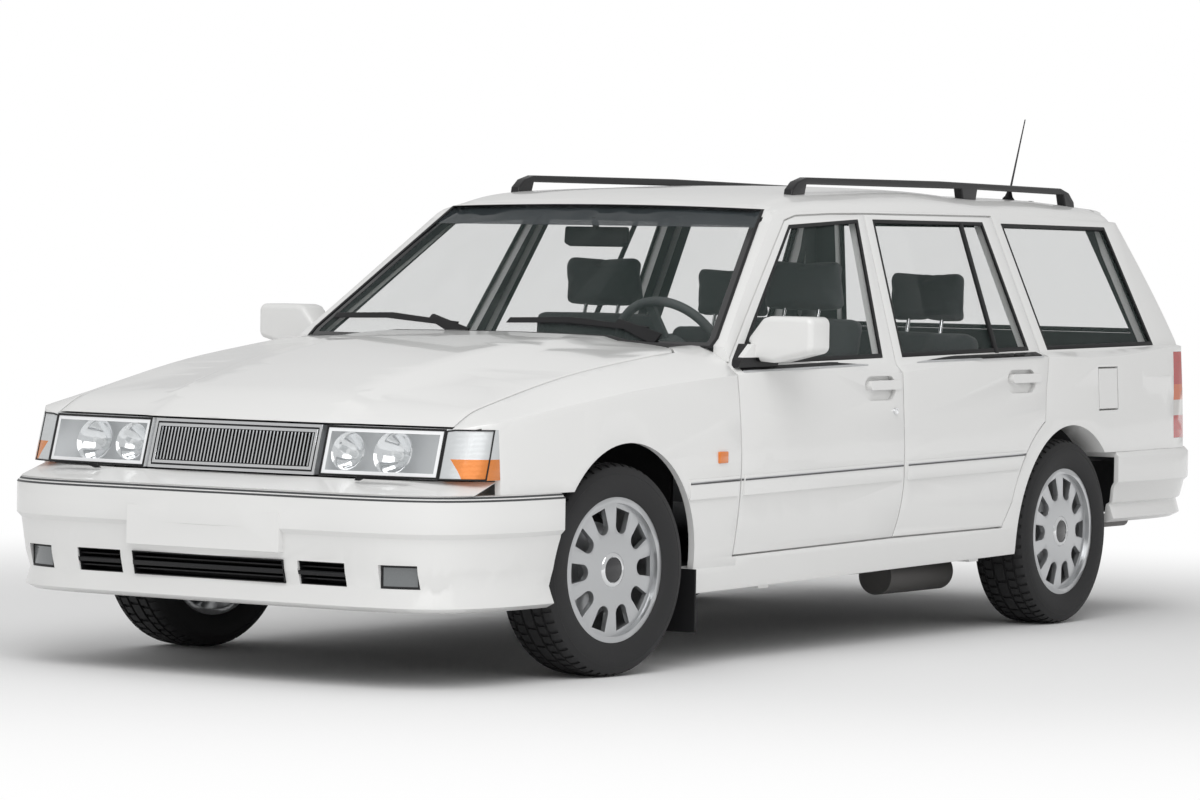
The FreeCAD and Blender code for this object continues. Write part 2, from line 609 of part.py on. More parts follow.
def fender_region():
    """Where the front fender is the body's skin."""
    region = block((car.gutter_half - car.overrun, front_end - car.overrun, fender_foot),
                   (far_out, fender_rear, far_up))
    in_front = block((0, front_end - car.overrun, 0), (far_out, front_axle, car.bumper_seam))
    lamps = block((0, front_end - car.overrun, 0), (far_out, lamp_back, car.lamp_top))
    cowl = block((0, cowl_front, 0), (car.cowl_half, rear_end, far_up))
    return region.cut([hood_prism(car.shut_gap), in_front, lamps, cowl, front_doors_out, front_arch])


fender_space = fender_region()
windscreen_solid = tidy(windscreen())


def front_fender():
    """A front fender: one pressed panel from the lamps to the door, open over the wheel."""
    skin = fender_space.common(lower_outer).cut(lower_body(car.panel_thickness))
    strip = moulding(None, *FENDER_MOULDING_SHARES)
    strip = strip.cut([front_arch, side_prism(FRONT_DOOR_SHARES, car.moulding_end_gap)])
    limit = block((0, front_axle, 0), (far_out, fender_rear, far_up))
    return skin.cut(windscreen_solid).fuse(strip.common(limit))


def fuel_flap_prism(gap, deep):
    """The fuel flap's square outline in the left quarter panel, run inwards."""
    low_y = behind(car.flap_back) - gap
    low_z = car.flap_foot - gap
    side_y = car.flap_width + 2 * gap
    side_z = car.flap_tall + 2 * gap
    return Part.makeBox(far_out - deep, side_y, side_z, Vector(deep, low_y, low_z))


def side_frame():
    """One body side: pillars, sill, rocker and quarter panel, open for doors, window, wheel and lamp."""
    region = outline_front(SIDE_REGION_SHARES, sill_front, rear_end)
    wall = shell(region, car.pillar_depth, car.pillar_frame_depth)
    corner_post = region.common(outer).cut(tail_block(car.pillar_depth))
    wall = wall.fuse(corner_post)
    nose_cut = block((0, front_end, fender_foot), (far_out, behind(car.bulkhead_back), far_up))
    fender_cut = fender_space.cut(lower_body(car.panel_thickness))
    bumper_cut = block((0, rear_axle, 0), (far_out, rear_end, rear_seam))
    cuts = door_opening(FRONT_DOOR_SHARES) + door_opening(REAR_DOOR_SHARES)
    cuts += [nose_cut, fender_cut, bumper_cut, side_prism(QUARTER_WINDOW_SHARES, 0), front_arch, rear_arch]
    cuts += [tailgate_room, tail_lamp_room, above_gutter, windscreen_prism()]
    return wall.cut(cuts).fuse(jack_pads())


def jack_pads():
    """The two flat pads under the sill where a jack lifts the car."""
    pads = []
    x = car.skin_half_width - car.jack_inset
    half = car.jack_half
    for y in (-car.jack_place, car.jack_place):
        foot = car.sill_bottom + SILL_RAKE_SHARE * y - car.jack_drop
        head = foot + 2 * car.jack_drop
        pads.append(block((x - half, y - half, foot), (x + half, y + half, head)))
    return pads


def outline_front(shares, low, high):
    """A prism along the car from an outline of the left side, as shares of skin width and roof height."""
    return outline([(a * car.skin_half_width, b * car.roof_height) for a, b in shares], "y", low, high)


def side_frames():
    """Both body sides; the left one has the fuel filler's recess and neck."""
    plain = tidy(side_frame())
    recess_floor = car.skin_half_width - 2 * car.panel_thickness
    neck_foot = Vector(recess_floor, behind(car.flap_back) + car.flap_width / 2,
                       car.flap_foot + car.flap_tall / 2)
    neck = Part.makeCylinder(car.flap_width / 4, car.panel_thickness, neck_foot, Vector(1, 0, 0))
    neck = neck.common(lower_body(car.flap_thickness + car.seal_gap))
    left = plain.cut(fuel_flap_prism(car.shut_gap, recess_floor)).fuse(neck)
    return left, mirrored(plain)


frame_left, frame_right = side_frames()
keep("side_frame_left", frame_left)
keep("side_frame_right", frame_right)


def fuel_flap():
    """The fuel flap, flush with the quarter panel."""
    flap = fuel_flap_prism(0, side_inner).common(lower_outer)
    return flap.cut(lower_body(car.flap_thickness))


def hinge_barrels(radius, lengths):
    """Barrels of the tailgate's two hinges on their axis, over given lengths from each hinge's middle."""
    barrels = []
    for low, high in lengths:
        foot = Vector(car.hinge_side + low, behind(car.hinge_back), car.hinge_height)
        barrel = Part.makeCylinder(radius, high - low, foot, Vector(1, 0, 0))
        barrels += [barrel, mirrored(barrel)]
    return barrels


hinge_middle = [(-car.hinge_half, car.hinge_half)]
hinge_ends = [(-2 * car.hinge_half, -car.hinge_half - car.seal_gap),
              (car.hinge_half + car.seal_gap, 2 * car.hinge_half)]
hinge_clear = car.hinge_radius + car.shut_gap


def roof_panel():
    """The roof skin between the gutters, from the windscreen to the tailgate's hinges."""
    above = house_outer.common(above_gutter)
    skin = above.cut([glasshouse(car.roof_thickness), windscreen_prism()]).common(
        tail_block(car.tailgate_depth + car.shut_gap))
    return skin.cut(hinge_barrels(hinge_clear, hinge_ends)).fuse(hinge_barrels(car.hinge_radius, hinge_middle))


def hood():
    """The hood, raised in the middle and turned down to the lamps."""
    plate = hood_prism(0).common(lower_outer).cut(lower_body(car.hood_thickness))
    below = block((-far_out, front_end - car.overrun, 0),
                  (far_out, rear_end, car.lamp_top + car.shut_gap))
    return plate.cut(below)


def tailgate():
    """The tailgate: one thick bowed lid with the rear window's opening."""
    lid = across(TAILGATE_SHARES).common(outer)
    lid = lid.cut(tail_block(car.tailgate_depth))
    lid = lid.cut([across(TAIL_GLASS_SHARES)] + hinge_barrels(hinge_clear, hinge_middle))
    return lid.fuse(hinge_barrels(car.hinge_radius, hinge_ends))


def tailgate_glass():
    """The rear window."""
    layer = tail_block(car.glass_inset).cut(tail_block(car.glass_inset + car.glass_thickness))
    return layer.common(across(TAIL_GLASS_SHARES))


def quarter_windows():
    """The fixed side windows of the load space."""
    return pair(tidy(pane(QUARTER_WINDOW_SHARES, 0)))


keep("fuel_flap", tidy(fuel_flap()))
keep("roof_panel", tidy(roof_panel()))
keep("hood", tidy(hood()))
keep("tailgate", tidy(tailgate()))
keep("tailgate_glass", tidy(tailgate_glass()))
keep("windscreen", windscreen_solid)
keep("quarter_windows", quarter_windows())
keep("front_fenders", pair(tidy(front_fender())))


def swept_section(section, path_shares):
    """A closed section (inward, height) swept round the front end, from arch to arch."""
    half = [(share * car.skin_half_width, front_end + back * car.skin_half_width)
            for share, back in path_shares]
    path = [(-x, y) for x, y in reversed(half[1:])] + half
    curve = Part.BSplineCurve()
    curve.interpolate([Vector(x, y, 0) for x, y in path])
    spine = Part.Wire([curve.toShape()])
    start = Vector(path[0][0], path[0][1], 0)
    along = curve.tangent(curve.FirstParameter)[0]
    inward = Vector(0, 0, 1).cross(along)
    if inward.x < 0:
        inward = inward * -1
    corners = [start + inward * depth + Vector(0, 0, high) for depth, high in section]
    profile = Part.makePolygon(corners + [corners[0]])
    sweep = Part.BRepOffsetAPI.MakePipeShell(spine)
    sweep.setBiNormalMode(Vector(0, 0, 1))
    sweep.add(profile)
    sweep.build()
    sweep.makeSolid()
    return sweep.shape()


BUMPER_INNER_SHARE = 1.4


def bumper_section(lift, shelf, skirt_foot):
    """A bumper's closed section: shelf, band and skirt, as (inward, height)."""
    wall = car.bumper_wall
    deep = car.bumper_depth
    top = car.band_top + lift
    foot = car.band_foot + lift
    seam = car.bumper_seam + lift - car.seal_gap
    lip = skirt_foot + car.lip_rise
    inner = BUMPER_INNER_SHARE * wall
    outer_side = [
        (deep + wall, shelf), (deep, shelf), (deep - wall / 4, seam), (wall, seam), (0, top),
        (0, foot), (wall, foot - wall), (2 * wall, (foot + skirt_foot) / 2), (3 * wall, lip),
        (2 * wall, skirt_foot + wall), (4 * wall, skirt_foot),
    ]
    inner_side = [
        (5 * wall, skirt_foot), (4 * wall, lip), (3 * wall, (foot + skirt_foot) / 2),
        (2 * wall, foot - wall), (inner, foot), (inner, top - wall / 4), (deep + wall, top - wall / 4),
    ]
    return outer_side + inner_side


def mirrored_boxes(low, high):
    """A box and its like on the other side of the car."""
    left = block(low, high)
    return [left, mirrored(left)]


def front_bumper():
    """The front bumper: one moulding with a band, three intakes, fog lamp holes and a lip."""
    shell_piece = swept_section(bumper_section(0, car.bumper_shelf, car.front_skirt_foot), BUMPER_PATH_SHARES)
    front = front_end - car.overrun
    back = front_end + car.bumper_depth
    middle = (car.intake_foot + car.intake_top) / 2
    half_slat = car.slat_height / 2
    holes = []
    for low, high in ((car.intake_foot, middle - half_slat), (middle + half_slat, car.intake_top)):
        holes.append(block((-car.intake_half, front, low), (car.intake_half, back, high)))
        holes += mirrored_boxes((car.side_intake_inner, front, low), (car.side_intake_outer, back, high))
    holes += mirrored_boxes((car.fog_inner, front, car.intake_foot), (car.fog_outer, back, car.intake_top))
    wheels = [front_arch, mirrored(front_arch)]
    panel = block((-car.plate_half, front_end + car.plate_setback, car.plate_foot),
                  (car.plate_half, front_end + 3 * car.bumper_wall, car.plate_top))
    return shell_piece.fuse(panel).cut(holes + wheels)


def rear_bumper():
    """The rear bumper, wrapped round to the wheels."""
    section = bumper_section(car.rear_band_rise, car.rear_shelf, car.rear_skirt_foot)
    shell_piece = swept_section(section, BUMPER_PATH_SHARES + REAR_BUMPER_END_SHARES)
    shell_piece = shell_piece.mirror(Vector(), Vector(0, 1, 0))
    return shell_piece.cut([rear_arch, mirrored(rear_arch), frame_left, frame_right])


def fog_lamps():
    """The fog lamps that fill the bumper's outer holes."""
    face = 3 * car.bumper_wall
    back = 5 * car.bumper_wall
    section = [(face, car.intake_foot), (face, car.intake_top), (back, car.intake_top),
               (back, car.intake_foot)]
    hole = block((car.fog_inner, front_end, car.intake_foot), (car.fog_outer, front_axle, car.intake_top))
    return pair(swept_section(section, BUMPER_PATH_SHARES).common(hole))


def headlamps():
    """The headlamps, whose front faces follow the nose."""
    lamp_box = block((car.lamp_inner_half, front_end, car.lamp_foot),
                     (car.lamp_outer_half, support_front, car.lamp_top))
    return pair(nose.common(lamp_box))


def indicator_lamps():
    """The turn lamps that wrap round the nose's corners."""
    lamp_box = block((car.lamp_outer_half, front_end, car.lamp_foot), (far_out, lamp_back, car.lamp_top))
    return pair(nose.common(lamp_box).common(lower_outer))


def grille():
    """A frame with upright bars between the headlamps."""
    low = car.lamp_foot
    body = nose.common(block((-car.grille_half, front_end, low),
                             (car.grille_half, support_front, car.lamp_top)))
    rim = car.grille_frame
    hole = block((rim - car.grille_half, front_end, low + rim),
                 (car.grille_half - rim, rear_end, car.lamp_top - rim))
    frame = body.cut(hole)
    layer = nose_block(rim / 2).cut(nose_block(rim / 2 + car.bar_depth)).common(hole)
    pitch = 2 * (car.grille_half - rim) / (car.bar_count + 1)
    slots = []
    for count in range(car.bar_count + 1):
        left = rim - car.grille_half + count * pitch
        slots.append(block((left + car.bar_thickness / 2, front_end, low),
                           (left + pitch - car.bar_thickness / 2, rear_end, car.lamp_top)))
    return frame.fuse(layer.cut(slots))


def tail_lamps():
    """The tall tail lamps at the body's rear corners."""
    return pair(tidy(tail_lamp_room.common(lower_outer)))


support_front = front_end + car.support_front
support_back = support_front + car.support_depth
keep("front_bumper", tidy(front_bumper()))
keep("rear_bumper", tidy(rear_bumper()))
keep("fog_lamps", fog_lamps())
keep("headlamps", headlamps())
keep("indicator_lamps", indicator_lamps())
keep("grille", tidy(grille()))
keep("tail_lamps", tail_lamps())


def engine_bay():
    """Bulkhead, cowl, side aprons with strut towers, lamp support and bumper brackets."""
    sheet_wall = car.sheet_thickness
    bulkhead_front = behind(car.bulkhead_back)
    bulkhead = block((-car.cowl_half, bulkhead_front, car.floor_height),
                     (car.cowl_half, bulkhead_front + sheet_wall, far_up))
    bulkhead = bulkhead.common(lower_body(car.hood_thickness + car.seal_gap))
    cowl = block((-car.cowl_half, cowl_front, car.belt_height / 2),
                 (car.cowl_half, behind(car.screen_foot_back), far_up))
    cowl = cowl.common(lower_outer).cut([lower_body(car.panel_thickness), hood_prism(car.shut_gap), screen])
    apron_top = car.tower_height + 2 * sheet_wall
    aprons = mirrored_boxes((car.apron_inner, support_back, car.subframe_top),
                            (car.apron_inner + sheet_wall, bulkhead_front, apron_top))
    tower_half = 2 * car.spring_radius
    tower_outer = kingpin_x(car.tower_height) + car.spring_radius
    towers = mirrored_boxes((car.apron_inner, front_axle - tower_half, car.tower_height),
                            (tower_outer, front_axle + tower_half, apron_top))
    support_half = (car.lamp_inner_half + car.lamp_outer_half) / 2
    support = block((-support_half, support_front, car.subframe_top),
                    (support_half, support_back, car.lamp_top - car.grille_frame))
    rail_top = car.band_top - car.bumper_wall / 4
    rails = mirrored_boxes((car.apron_inner, front_end + car.bumper_depth, car.band_foot),
                           (car.apron_inner + 4 * sheet_wall, support_front, rail_top))
    stop_row = LOWER_STATION_SHARES[2]
    stops = []
    for side in (-1, 1):
        stops.append(hood_stop(stop_row, side * car.apron_inner))
    return bulkhead.fuse([cowl, support] + aprons + towers + rails + stops)


def kingpin_x(high):
    """How far out the left steering axis lies at a height."""
    lean = math.tan(math.radians(car.kingpin_lean))
    return car.front_track / 2 - car.kingpin_inset - (high - car.wheel_height) * lean


def hood_stop(row, x):
    """A rubber stop on the lamp support, a seal's gap below the closed hood."""
    share, width, crease, shut, crown = row
    half = width * car.skin_half_width
    shut_half = SHUT_SHARE * half - car.hood_thickness / 2
    band_out = (band_share(share) + BAND_WIDTH_SHARE) * car.skin_half_width
    shut_high = shut * car.hood_height - car.hood_thickness
    band_foot = shut_high + BAND_FOOT_SHARE * (crown - shut) * car.hood_height
    reach = (abs(x) - band_out) / (shut_half - band_out)
    top = band_foot + (shut_high - band_foot) * reach - car.seal_gap
    foot = car.lamp_top - car.grille_frame
    return Part.makeCylinder(car.stop_radius / 2, top - foot - car.seal_gap, Vector(x, station(share), foot))


def floor_pan():
    """The floor with its step up to the load floor, wheel housings and rear panel."""
    wall = car.sheet_thickness
    front = behind(car.bulkhead_back) + wall
    step = behind(car.tank_front) + car.tank_length
    low = car.floor_height
    load = car.load_floor_height
    main = block((-side_inner, front, low), (side_inner, step, low + wall))
    riser = block((-side_inner, step, low), (side_inner, step + wall, load + wall))
    deck = block((-side_inner, step, load), (side_inner, rear_end, load + wall))
    deck = deck.common(tail_block(car.tailgate_depth + car.seal_gap))
    rear_back = rear_end - car.tail_foot_setback - car.tailgate_depth - wall
    panel = block((-car.cowl_half, rear_back - wall, car.rear_skirt_foot), (car.cowl_half, rear_back, load))
    band = car.rear_band_rise - car.bumper_wall / 4
    rails = mirrored_boxes((car.apron_inner, rear_back - wall, car.band_foot + car.rear_band_rise),
                           (car.apron_inner + 4 * wall, rear_end - car.bumper_depth, car.band_top + band))
    inner = rear_wheel_inner - 2 * wall
    outer_foot = Vector(inner, rear_axle, car.arch_height)
    inner_foot = Vector(inner + wall, rear_axle, car.arch_height)
    housing = Part.makeCylinder(car.arch_rear_radius + wall, side_inner - inner, outer_foot, Vector(1, 0, 0))
    space = Part.makeCylinder(car.arch_rear_radius, side_inner, inner_foot, Vector(1, 0, 0))
    under = block((0, front_end, -far_up), (far_out, rear_end, load))
    housing = housing.cut([under])
    body = main.fuse([riser, deck, panel, housing, mirrored(housing)] + rails)
    return body.cut([space, mirrored(space)])


rear_wheel_inner = (car.rear_track - car.tyre_width) / 2
keep("engine_bay", tidy(engine_bay()))
keep("floor_pan", tidy(floor_pan()))


class Measure:
    """A length together with the formula that ties it to the sheet."""

    def __init__(self, value, text):
        self.value = value
        self.text = text

    def join(self, other, sign, value):
        return Measure(value, "(%s %s %s)" % (self.text, sign, getattr(other, "text", other)))

    def __add__(self, other):
        return self.join(other, "+", self.value + getattr(other, "value", other))

    def __sub__(self, other):
        return self.join(other, "-", self.value - getattr(other, "value", other))

    def __mul__(self, other):
        return self.join(other, "*", self.value * getattr(other, "value", other))

    def __truediv__(self, other):
        return self.join(other, "/", self.value / getattr(other, "value", other))

    def __neg__(self):
        return Measure(-self.value, "(-%s)" % self.text)


ref = SimpleNamespace(**{alias: Measure(getattr(sheet, alias), "sizes." + alias) for alias in SIZES})
zero = Measure(0, "0")
ref_half_length = (ref.front_overhang + ref.wheel_base + ref.rear_overhang) / 2
ref_front_axle = ref.front_overhang - ref_half_length
ref_rear_axle = ref_front_axle + ref.wheel_base


def part(kind, name, sizes, x, y, z, turn=None):
    """A parametric Part object whose sizes and place are tied to the sheet."""
    made = doc.addObject(kind, name)
    if turn:
        made.Placement = Placement(Vector(), Rotation(*turn))
    sizes = dict(sizes)
    sizes.update({"Placement.Base.x": x, "Placement.Base.y": y, "Placement.Base.z": z})
    return bind(made, {key: measure.text for key, measure in sizes.items()})


def box(name, low, size):
    """A parametric box from its low corner and its size."""
    return part("Part::Box", name, dict(zip(("Length", "Width", "Height"), size)), *low)


def rod(name, radius, length, foot, turn=None):
    """A parametric round bar from its foot."""
    return part("Part::Cylinder", name, {"Radius": radius, "Height": length}, *foot, turn=turn)


def piece(shape_object, name):
    """Files the finished object of a piece under its name."""
    shape_object.Label = name
    pieces.append(shape_object)
    return shape_object


def fuse(name, objects):
    """Several parametric objects joined into one."""
    joined = doc.addObject("Part::MultiFuse", name)
    joined.Shapes = objects
    return joined


def rounded(base, radius):
    """A box with all its edges rounded."""
    doc.recompute()
    fillet = doc.addObject("Part::Fillet", base.Name + "_rounded")
    fillet.Base = base
    fillet.Edges = [(number + 1, radius, radius) for number in range(len(base.Shape.Edges))]
    return fillet


ALONG_X = (Vector(0, 1, 0), 90)
ALONG_Y = (Vector(-1, 0, 0), 90)


def engine_block():
    """The engine as one plain block on the subframe."""
    body = box("engine_body", (-ref.engine_width / 2, ref.engine_front - ref_half_length, ref.subframe_top),
               (ref.engine_width, ref.engine_length, ref.engine_tall))
    piece(body, "engine_block")


def fuel_tank():
    """The flat fuel tank under the floor ahead of the rear axle."""
    body = box("tank_body", (-ref.tank_width / 2, ref_front_axle + ref.tank_front, ref.floor_height - ref.tank_tall),
               (ref.tank_width, ref.tank_length, ref.tank_tall))
    piece(body, "fuel_tank")


def exhaust():
    """The exhaust: a pipe under the floor, a silencer, and a tail pipe that arches over the rear axle."""
    side = car.exhaust_side
    low = car.floor_height - car.pipe_radius - car.seal_gap
    over = car.wheel_height + car.axle_tube_radius + car.pipe_radius + car.overrun
    bend = car.tail_pipe_bend
    riser_back = behind(car.tank_front) + car.tank_length + car.sheet_thickness
    places = [
        (behind(car.bulkhead_back), low), (riser_back + 2 * car.sheet_thickness, low),
        (rear_axle - bend, over), (rear_axle + bend, over), (rear_axle + 4 * bend, car.tail_pipe_height),
        (rear_end - car.bumper_depth - car.bumper_wall, car.tail_pipe_height),
    ]
    points = [Vector(side, y, z) for y, z in places]
    solids = []
    for start, end in zip(points, points[1:]):
        way = end - start
        solids.append(Part.makeCylinder(car.pipe_radius, way.Length, start, way))
    for point in points[1:-1]:
        solids.append(Part.makeSphere(car.pipe_radius, point))
    foot = Vector(side, behind(car.tank_front), car.floor_height - car.muffler_radius)
    silencer = Part.makeCylinder(car.muffler_radius, car.muffler_length, foot, Vector(0, 1, 0))
    return silencer.fuse(solids)


def antenna():
    """The whip antenna on the roof, leaning back."""
    whip = part("Part::Cone", "antenna_whip", {
        "Radius1": ref.antenna_radius, "Radius2": ref.antenna_radius / 2, "Height": ref.antenna_length},
        ref.antenna_side, ref_front_axle + ref.antenna_back, ref.roof_height - ref.antenna_foot_drop,
        turn=(Vector(-1, 0, 0), car.antenna_lean))
    piece(whip, "antenna")


def sketch_on(body, name, role, corners):
    """A closed sketch on one of a body's own planes, each corner tied to the sheet."""
    sketch = body.newObject("Sketcher::SketchObject", name)
    plane = [item for item in body.Origin.OriginFeatures if item.Role == role][0]
    sketch.AttachmentSupport = (plane, "")
    sketch.MapMode = "FlatFace"
    count = len(corners)
    for index, (a, b) in enumerate(corners):
        end_a, end_b = corners[(index + 1) % count]
        sketch.addGeometry(Part.LineSegment(Vector(a.value, b.value, 0), Vector(end_a.value, end_b.value, 0)))
    for index in range(count):
        sketch.addConstraint(Sketcher.Constraint("Coincident", index, 2, (index + 1) % count, 1))
    for index, corner in enumerate(corners):
        for kind, measure in zip(("DistanceX", "DistanceY"), corner):
            number = sketch.addConstraint(Sketcher.Constraint(kind, -1, 1, index, 1, measure.value))
            sketch.setExpression("Constraints[%d]" % number, measure.text)
    return sketch


def turned(body, name, corners):
    """A solid of revolution about the wheel's axis, from (across, radius) corners."""
    profile = sketch_on(body, name + "_profile", "XY_Plane", corners)
    feature = body.newObject("PartDesign::Revolution", name)
    feature.Profile = profile
    feature.ReferenceAxis = (profile, ["H_Axis"])
    feature.Angle = 360
    profile.Visibility = False
    return feature


def vector_text(x, y, z):
    """A vector in the sheet's words."""
    return "create(<<vector>>; %s; %s; %s)" % (x.text, y.text, z.text)


def wheel_place(side, front):
    """The placement of a wheel: outwards along its axle and, in front, steered about its kingpin."""
    track = ref.front_track if front else ref.rear_track
    axle = ref_front_axle if front else ref_rear_axle
    centre = vector_text(track / 2 * side, axle, ref.wheel_height)
    facing = "create(<<rotation>>; create(<<vector>>; 0; 0; 1); %d)" % (0 if side > 0 else 180)
    stand = "create(<<placement>>; %s; %s)" % (centre, facing)
    return steered(side) + " * " + stand if front else stand


def steered(side):
    """The turn about a front kingpin at which the car is parked."""
    pin = vector_text((ref.front_track / 2 - ref.kingpin_inset) * side, ref_front_axle, ref.wheel_height)
    lean = "create(<<vector>>; %d * sin(sizes.kingpin_lean); 0; cos(sizes.kingpin_lean))" % -side
    turn = "create(<<rotation>>; %s; -sizes.steer_rest)" % lean
    return "create(<<placement>>; create(<<vector>>; 0; 0; 0); %s; %s)" % (turn, pin)


# Half of a tyre's section above the bead: how far in from its side and how far up its wall
TYRE_WALL_SHARES = [(0, 0.42), (0, 0.66), (0.09, 0.91), (0.24, 1)]


def tyre(name, spot):
    """A road tyre on its rim, closed like the inflated one."""
    body = doc.addObject("PartDesign::Body", name + "_body")
    across_half = ref.tyre_width / 2
    seat = ref.rim_width / 2 - ref.lip_width
    bead = ref.lip_radius + ref.lip_gap
    wall = ref.tyre_radius - ref.rim_radius
    side = [(seat, ref.rim_radius), (seat, bead), (ref.rim_width / 2 + ref.lip_gap, bead)]
    for inward, upward in TYRE_WALL_SHARES:
        side.append((across_half - wall * inward, ref.rim_radius + wall * upward))
    turned(body, name + "_turned", [(-a, b) for a, b in side] + list(reversed(side)))
    body.setExpression("Placement", spot)
    return piece(body, name)


def round_sketch(body, name, role, centre, radius):
    """A circle on one of a body's own planes, tied to the sheet."""
    sketch = body.newObject("Sketcher::SketchObject", name)
    plane = [item for item in body.Origin.OriginFeatures if item.Role == role][0]
    sketch.AttachmentSupport = (plane, "")
    sketch.MapMode = "FlatFace"
    middle = Vector(centre[0].value, centre[1].value, 0)
    sketch.addGeometry(Part.Circle(middle, Vector(0, 0, 1), radius.value))
    for kind, measure in zip(("DistanceX", "DistanceY"), centre):
        number = sketch.addConstraint(Sketcher.Constraint(kind, -1, 1, 0, 3, measure.value))
        sketch.setExpression("Constraints[%d]" % number, measure.text)
    number = sketch.addConstraint(Sketcher.Constraint("Radius", 0, radius.value))
    sketch.setExpression("Constraints[%d]" % number, radius.text)
    return sketch


def cut_outwards(body, name, profile):
    """Cuts a profile through the wheel's face, outwards from its middle plane."""
    feature = body.newObject("PartDesign::Pocket", name)
    feature.Profile = profile
    feature.Reversed = True
    feature.setExpression("Length", (ref.rim_width / 2).text)
    profile.Visibility = False
    return feature


def rim(name, spot):
    """A ten-spoke cast wheel with its hub and brake disc."""
    body = doc.addObject("PartDesign::Body", name + "_body")
    bore = ref.spindle_radius + ref.seal_gap
    disc_back = ref.disc_thickness - ref.hub_inner
    face_back = ref.rim_face - ref.rim_web
    edge = ref.rim_radius - ref.barrel_thickness / 2
    turned(body, name + "_hub", [
        (-ref.hub_inner, bore), (-ref.hub_inner, ref.disc_radius), (disc_back, ref.disc_radius),
        (disc_back, ref.hub_radius), (face_back, ref.hub_radius), (face_back - ref.face_drop, edge),
        (ref.rim_face - ref.face_drop, edge), (ref.rim_face, ref.plate_radius), (ref.rim_face, zero),
        (ref.spindle_length, zero), (ref.spindle_length, bore)])
    middle = (zero, ref.window_middle)
    bow = cut_outwards(body, name + "_bow", round_sketch(
        body, name + "_bow_outline", "YZ_Plane", middle, ref.window_radius))
    window = cut_outwards(body, name + "_window", sketch_on(body, name + "_window_outline", "YZ_Plane", [
        (-ref.window_radius, ref.window_middle), (ref.window_radius, ref.window_middle),
        (ref.window_end_half, ref.window_end), (-ref.window_end_half, ref.window_end)]))
    pattern = body.newObject("PartDesign::PolarPattern", name + "_windows")
    pattern.Originals = [bow, window]
    pattern.Axis = ([item for item in body.Origin.OriginFeatures if item.Role == "X_Axis"][0], [""])
    pattern.Angle = 360
    pattern.setExpression("Occurrences", ref.spoke_count.text)
    body.Tip = pattern
    return finish_rim(body, name, spot)


def finish_rim(body, name, spot):
    """Closes the wheel's face with the barrel and turns it so that a spoke stands at its top."""
    half = ref.rim_width / 2
    inside = ref.rim_radius - ref.barrel_thickness
    shoulder = half - ref.lip_width
    side = [(half, inside), (half, ref.lip_radius), (shoulder, ref.lip_radius), (shoulder, ref.rim_radius)]
    turned(body, name + "_barrel", [(-a, b) for a, b in side] + list(reversed(side)))
    half_pitch = "create(<<rotation>>; create(<<vector>>; 1; 0; 0); 180 / sizes.spoke_count)"
    turn = "create(<<placement>>; create(<<vector>>; 0; 0; 0); %s)" % half_pitch
    body.setExpression("Placement", spot + " * " + turn)
    return piece(body, name)


def knuckle(name, side):
    """A steering knuckle: the upright on its kingpin and the wheel's spindle."""
    reach = ref.kingpin_up + ref.kingpin_down / math.cos(math.radians(car.kingpin_lean))
    pin_x = (ref.front_track / 2 - ref.kingpin_inset) * side
    slope = math.tan(math.radians(car.kingpin_lean))
    upright = rod(name + "_upright", ref.kingpin_radius, reach,
                  (pin_x + ref.kingpin_down * slope * side, ref_front_axle, ref.wheel_height - ref.kingpin_down),
                  (Vector(0, 1, 0), -side * car.kingpin_lean))
    inner = pin_x if side > 0 else (ref.front_track / 2 + ref.spindle_length - ref.seal_gap) * side
    spindle = rod(name + "_spindle", ref.spindle_radius, ref.kingpin_inset + ref.spindle_length - ref.seal_gap,
                  (inner, ref_front_axle, ref.wheel_height), ALONG_X)
    body = fuse(name + "_body", [upright, spindle])
    body.setExpression("Placement", steered(side))
    return piece(body, name)


# Side outlines of the seats: share of a seat's length, share of its back's height above the floor
SEAT_SHARES = [(0.02, 0.075), (0, 0.185), (0.06, 0.25), (0.60, 0.215), (0.84, 1.00), (0.97, 0.975),
               (0.80, 0.26), (0.74, 0.075)]
HEADREST_SHARES = [(0.89, 1.02), (0.875, 1.18), (0.91, 1.22), (0.985, 1.205), (1.015, 1.03)]
BENCH_SHARES = [(0.02, 0.083), (0, 0.222), (0.07, 0.296), (0.42, 0.287), (0.66, 0.934), (0.82, 0.897)]
BENCH_REST_SHARES = [(0.715, 0.965), (0.71, 1.135), (0.745, 1.172), (0.82, 1.155), (0.835, 0.955)]
BENCH_BACK_SHARE = 0.72
BENCH_STEP_SHARE = 0.5294
POST_DEPTH_SHARE = 0.10
POST_LENGTH_SHARE = 0.14
RUNNER_SHARE = 0.6
PLINTH_SHARE = 0.9
INSTRUMENT_HOOD_SHARE = 0.7
WHEEL_SPOKE_TURNS = (20, 160, 235, 305)
DASH_SHARES = [(0, 0), (0, 1), (0.80, 1), (0.93, 0.93), (1, 0.78), (0.93, 0.50), (0.80, 0.15), (0.70, 0)]


def padded(body, name, corners, width):
    """A pad of a side outline, as wide to the left as to the right."""
    outline_sketch = sketch_on(body, name + "_outline", "YZ_Plane", corners)
    feature = body.newObject("PartDesign::Pad", name)
    feature.Profile = outline_sketch
    feature.Midplane = True
    feature.setExpression("Length", width.text)
    outline_sketch.Visibility = False
    return feature


def softened(body, name, feature, radius, inner_corner):
    """Rounds the edges of a body's last feature, but for those that meet at an inner corner."""
    doc.recompute()
    chosen = []
    for number, edge in enumerate(feature.Shape.Edges):
        gaps = [abs(end.Y - inner_corner[0]) + abs(end.Z - inner_corner[1]) for end in edge.Vertexes]
        if min(gaps) > car.seal_gap:
            chosen.append("Edge%d" % (number + 1))
    fillet = body.newObject("PartDesign::Fillet", name)
    fillet.Base = (feature, chosen)
    fillet.setExpression("Radius", radius.text)
    return fillet


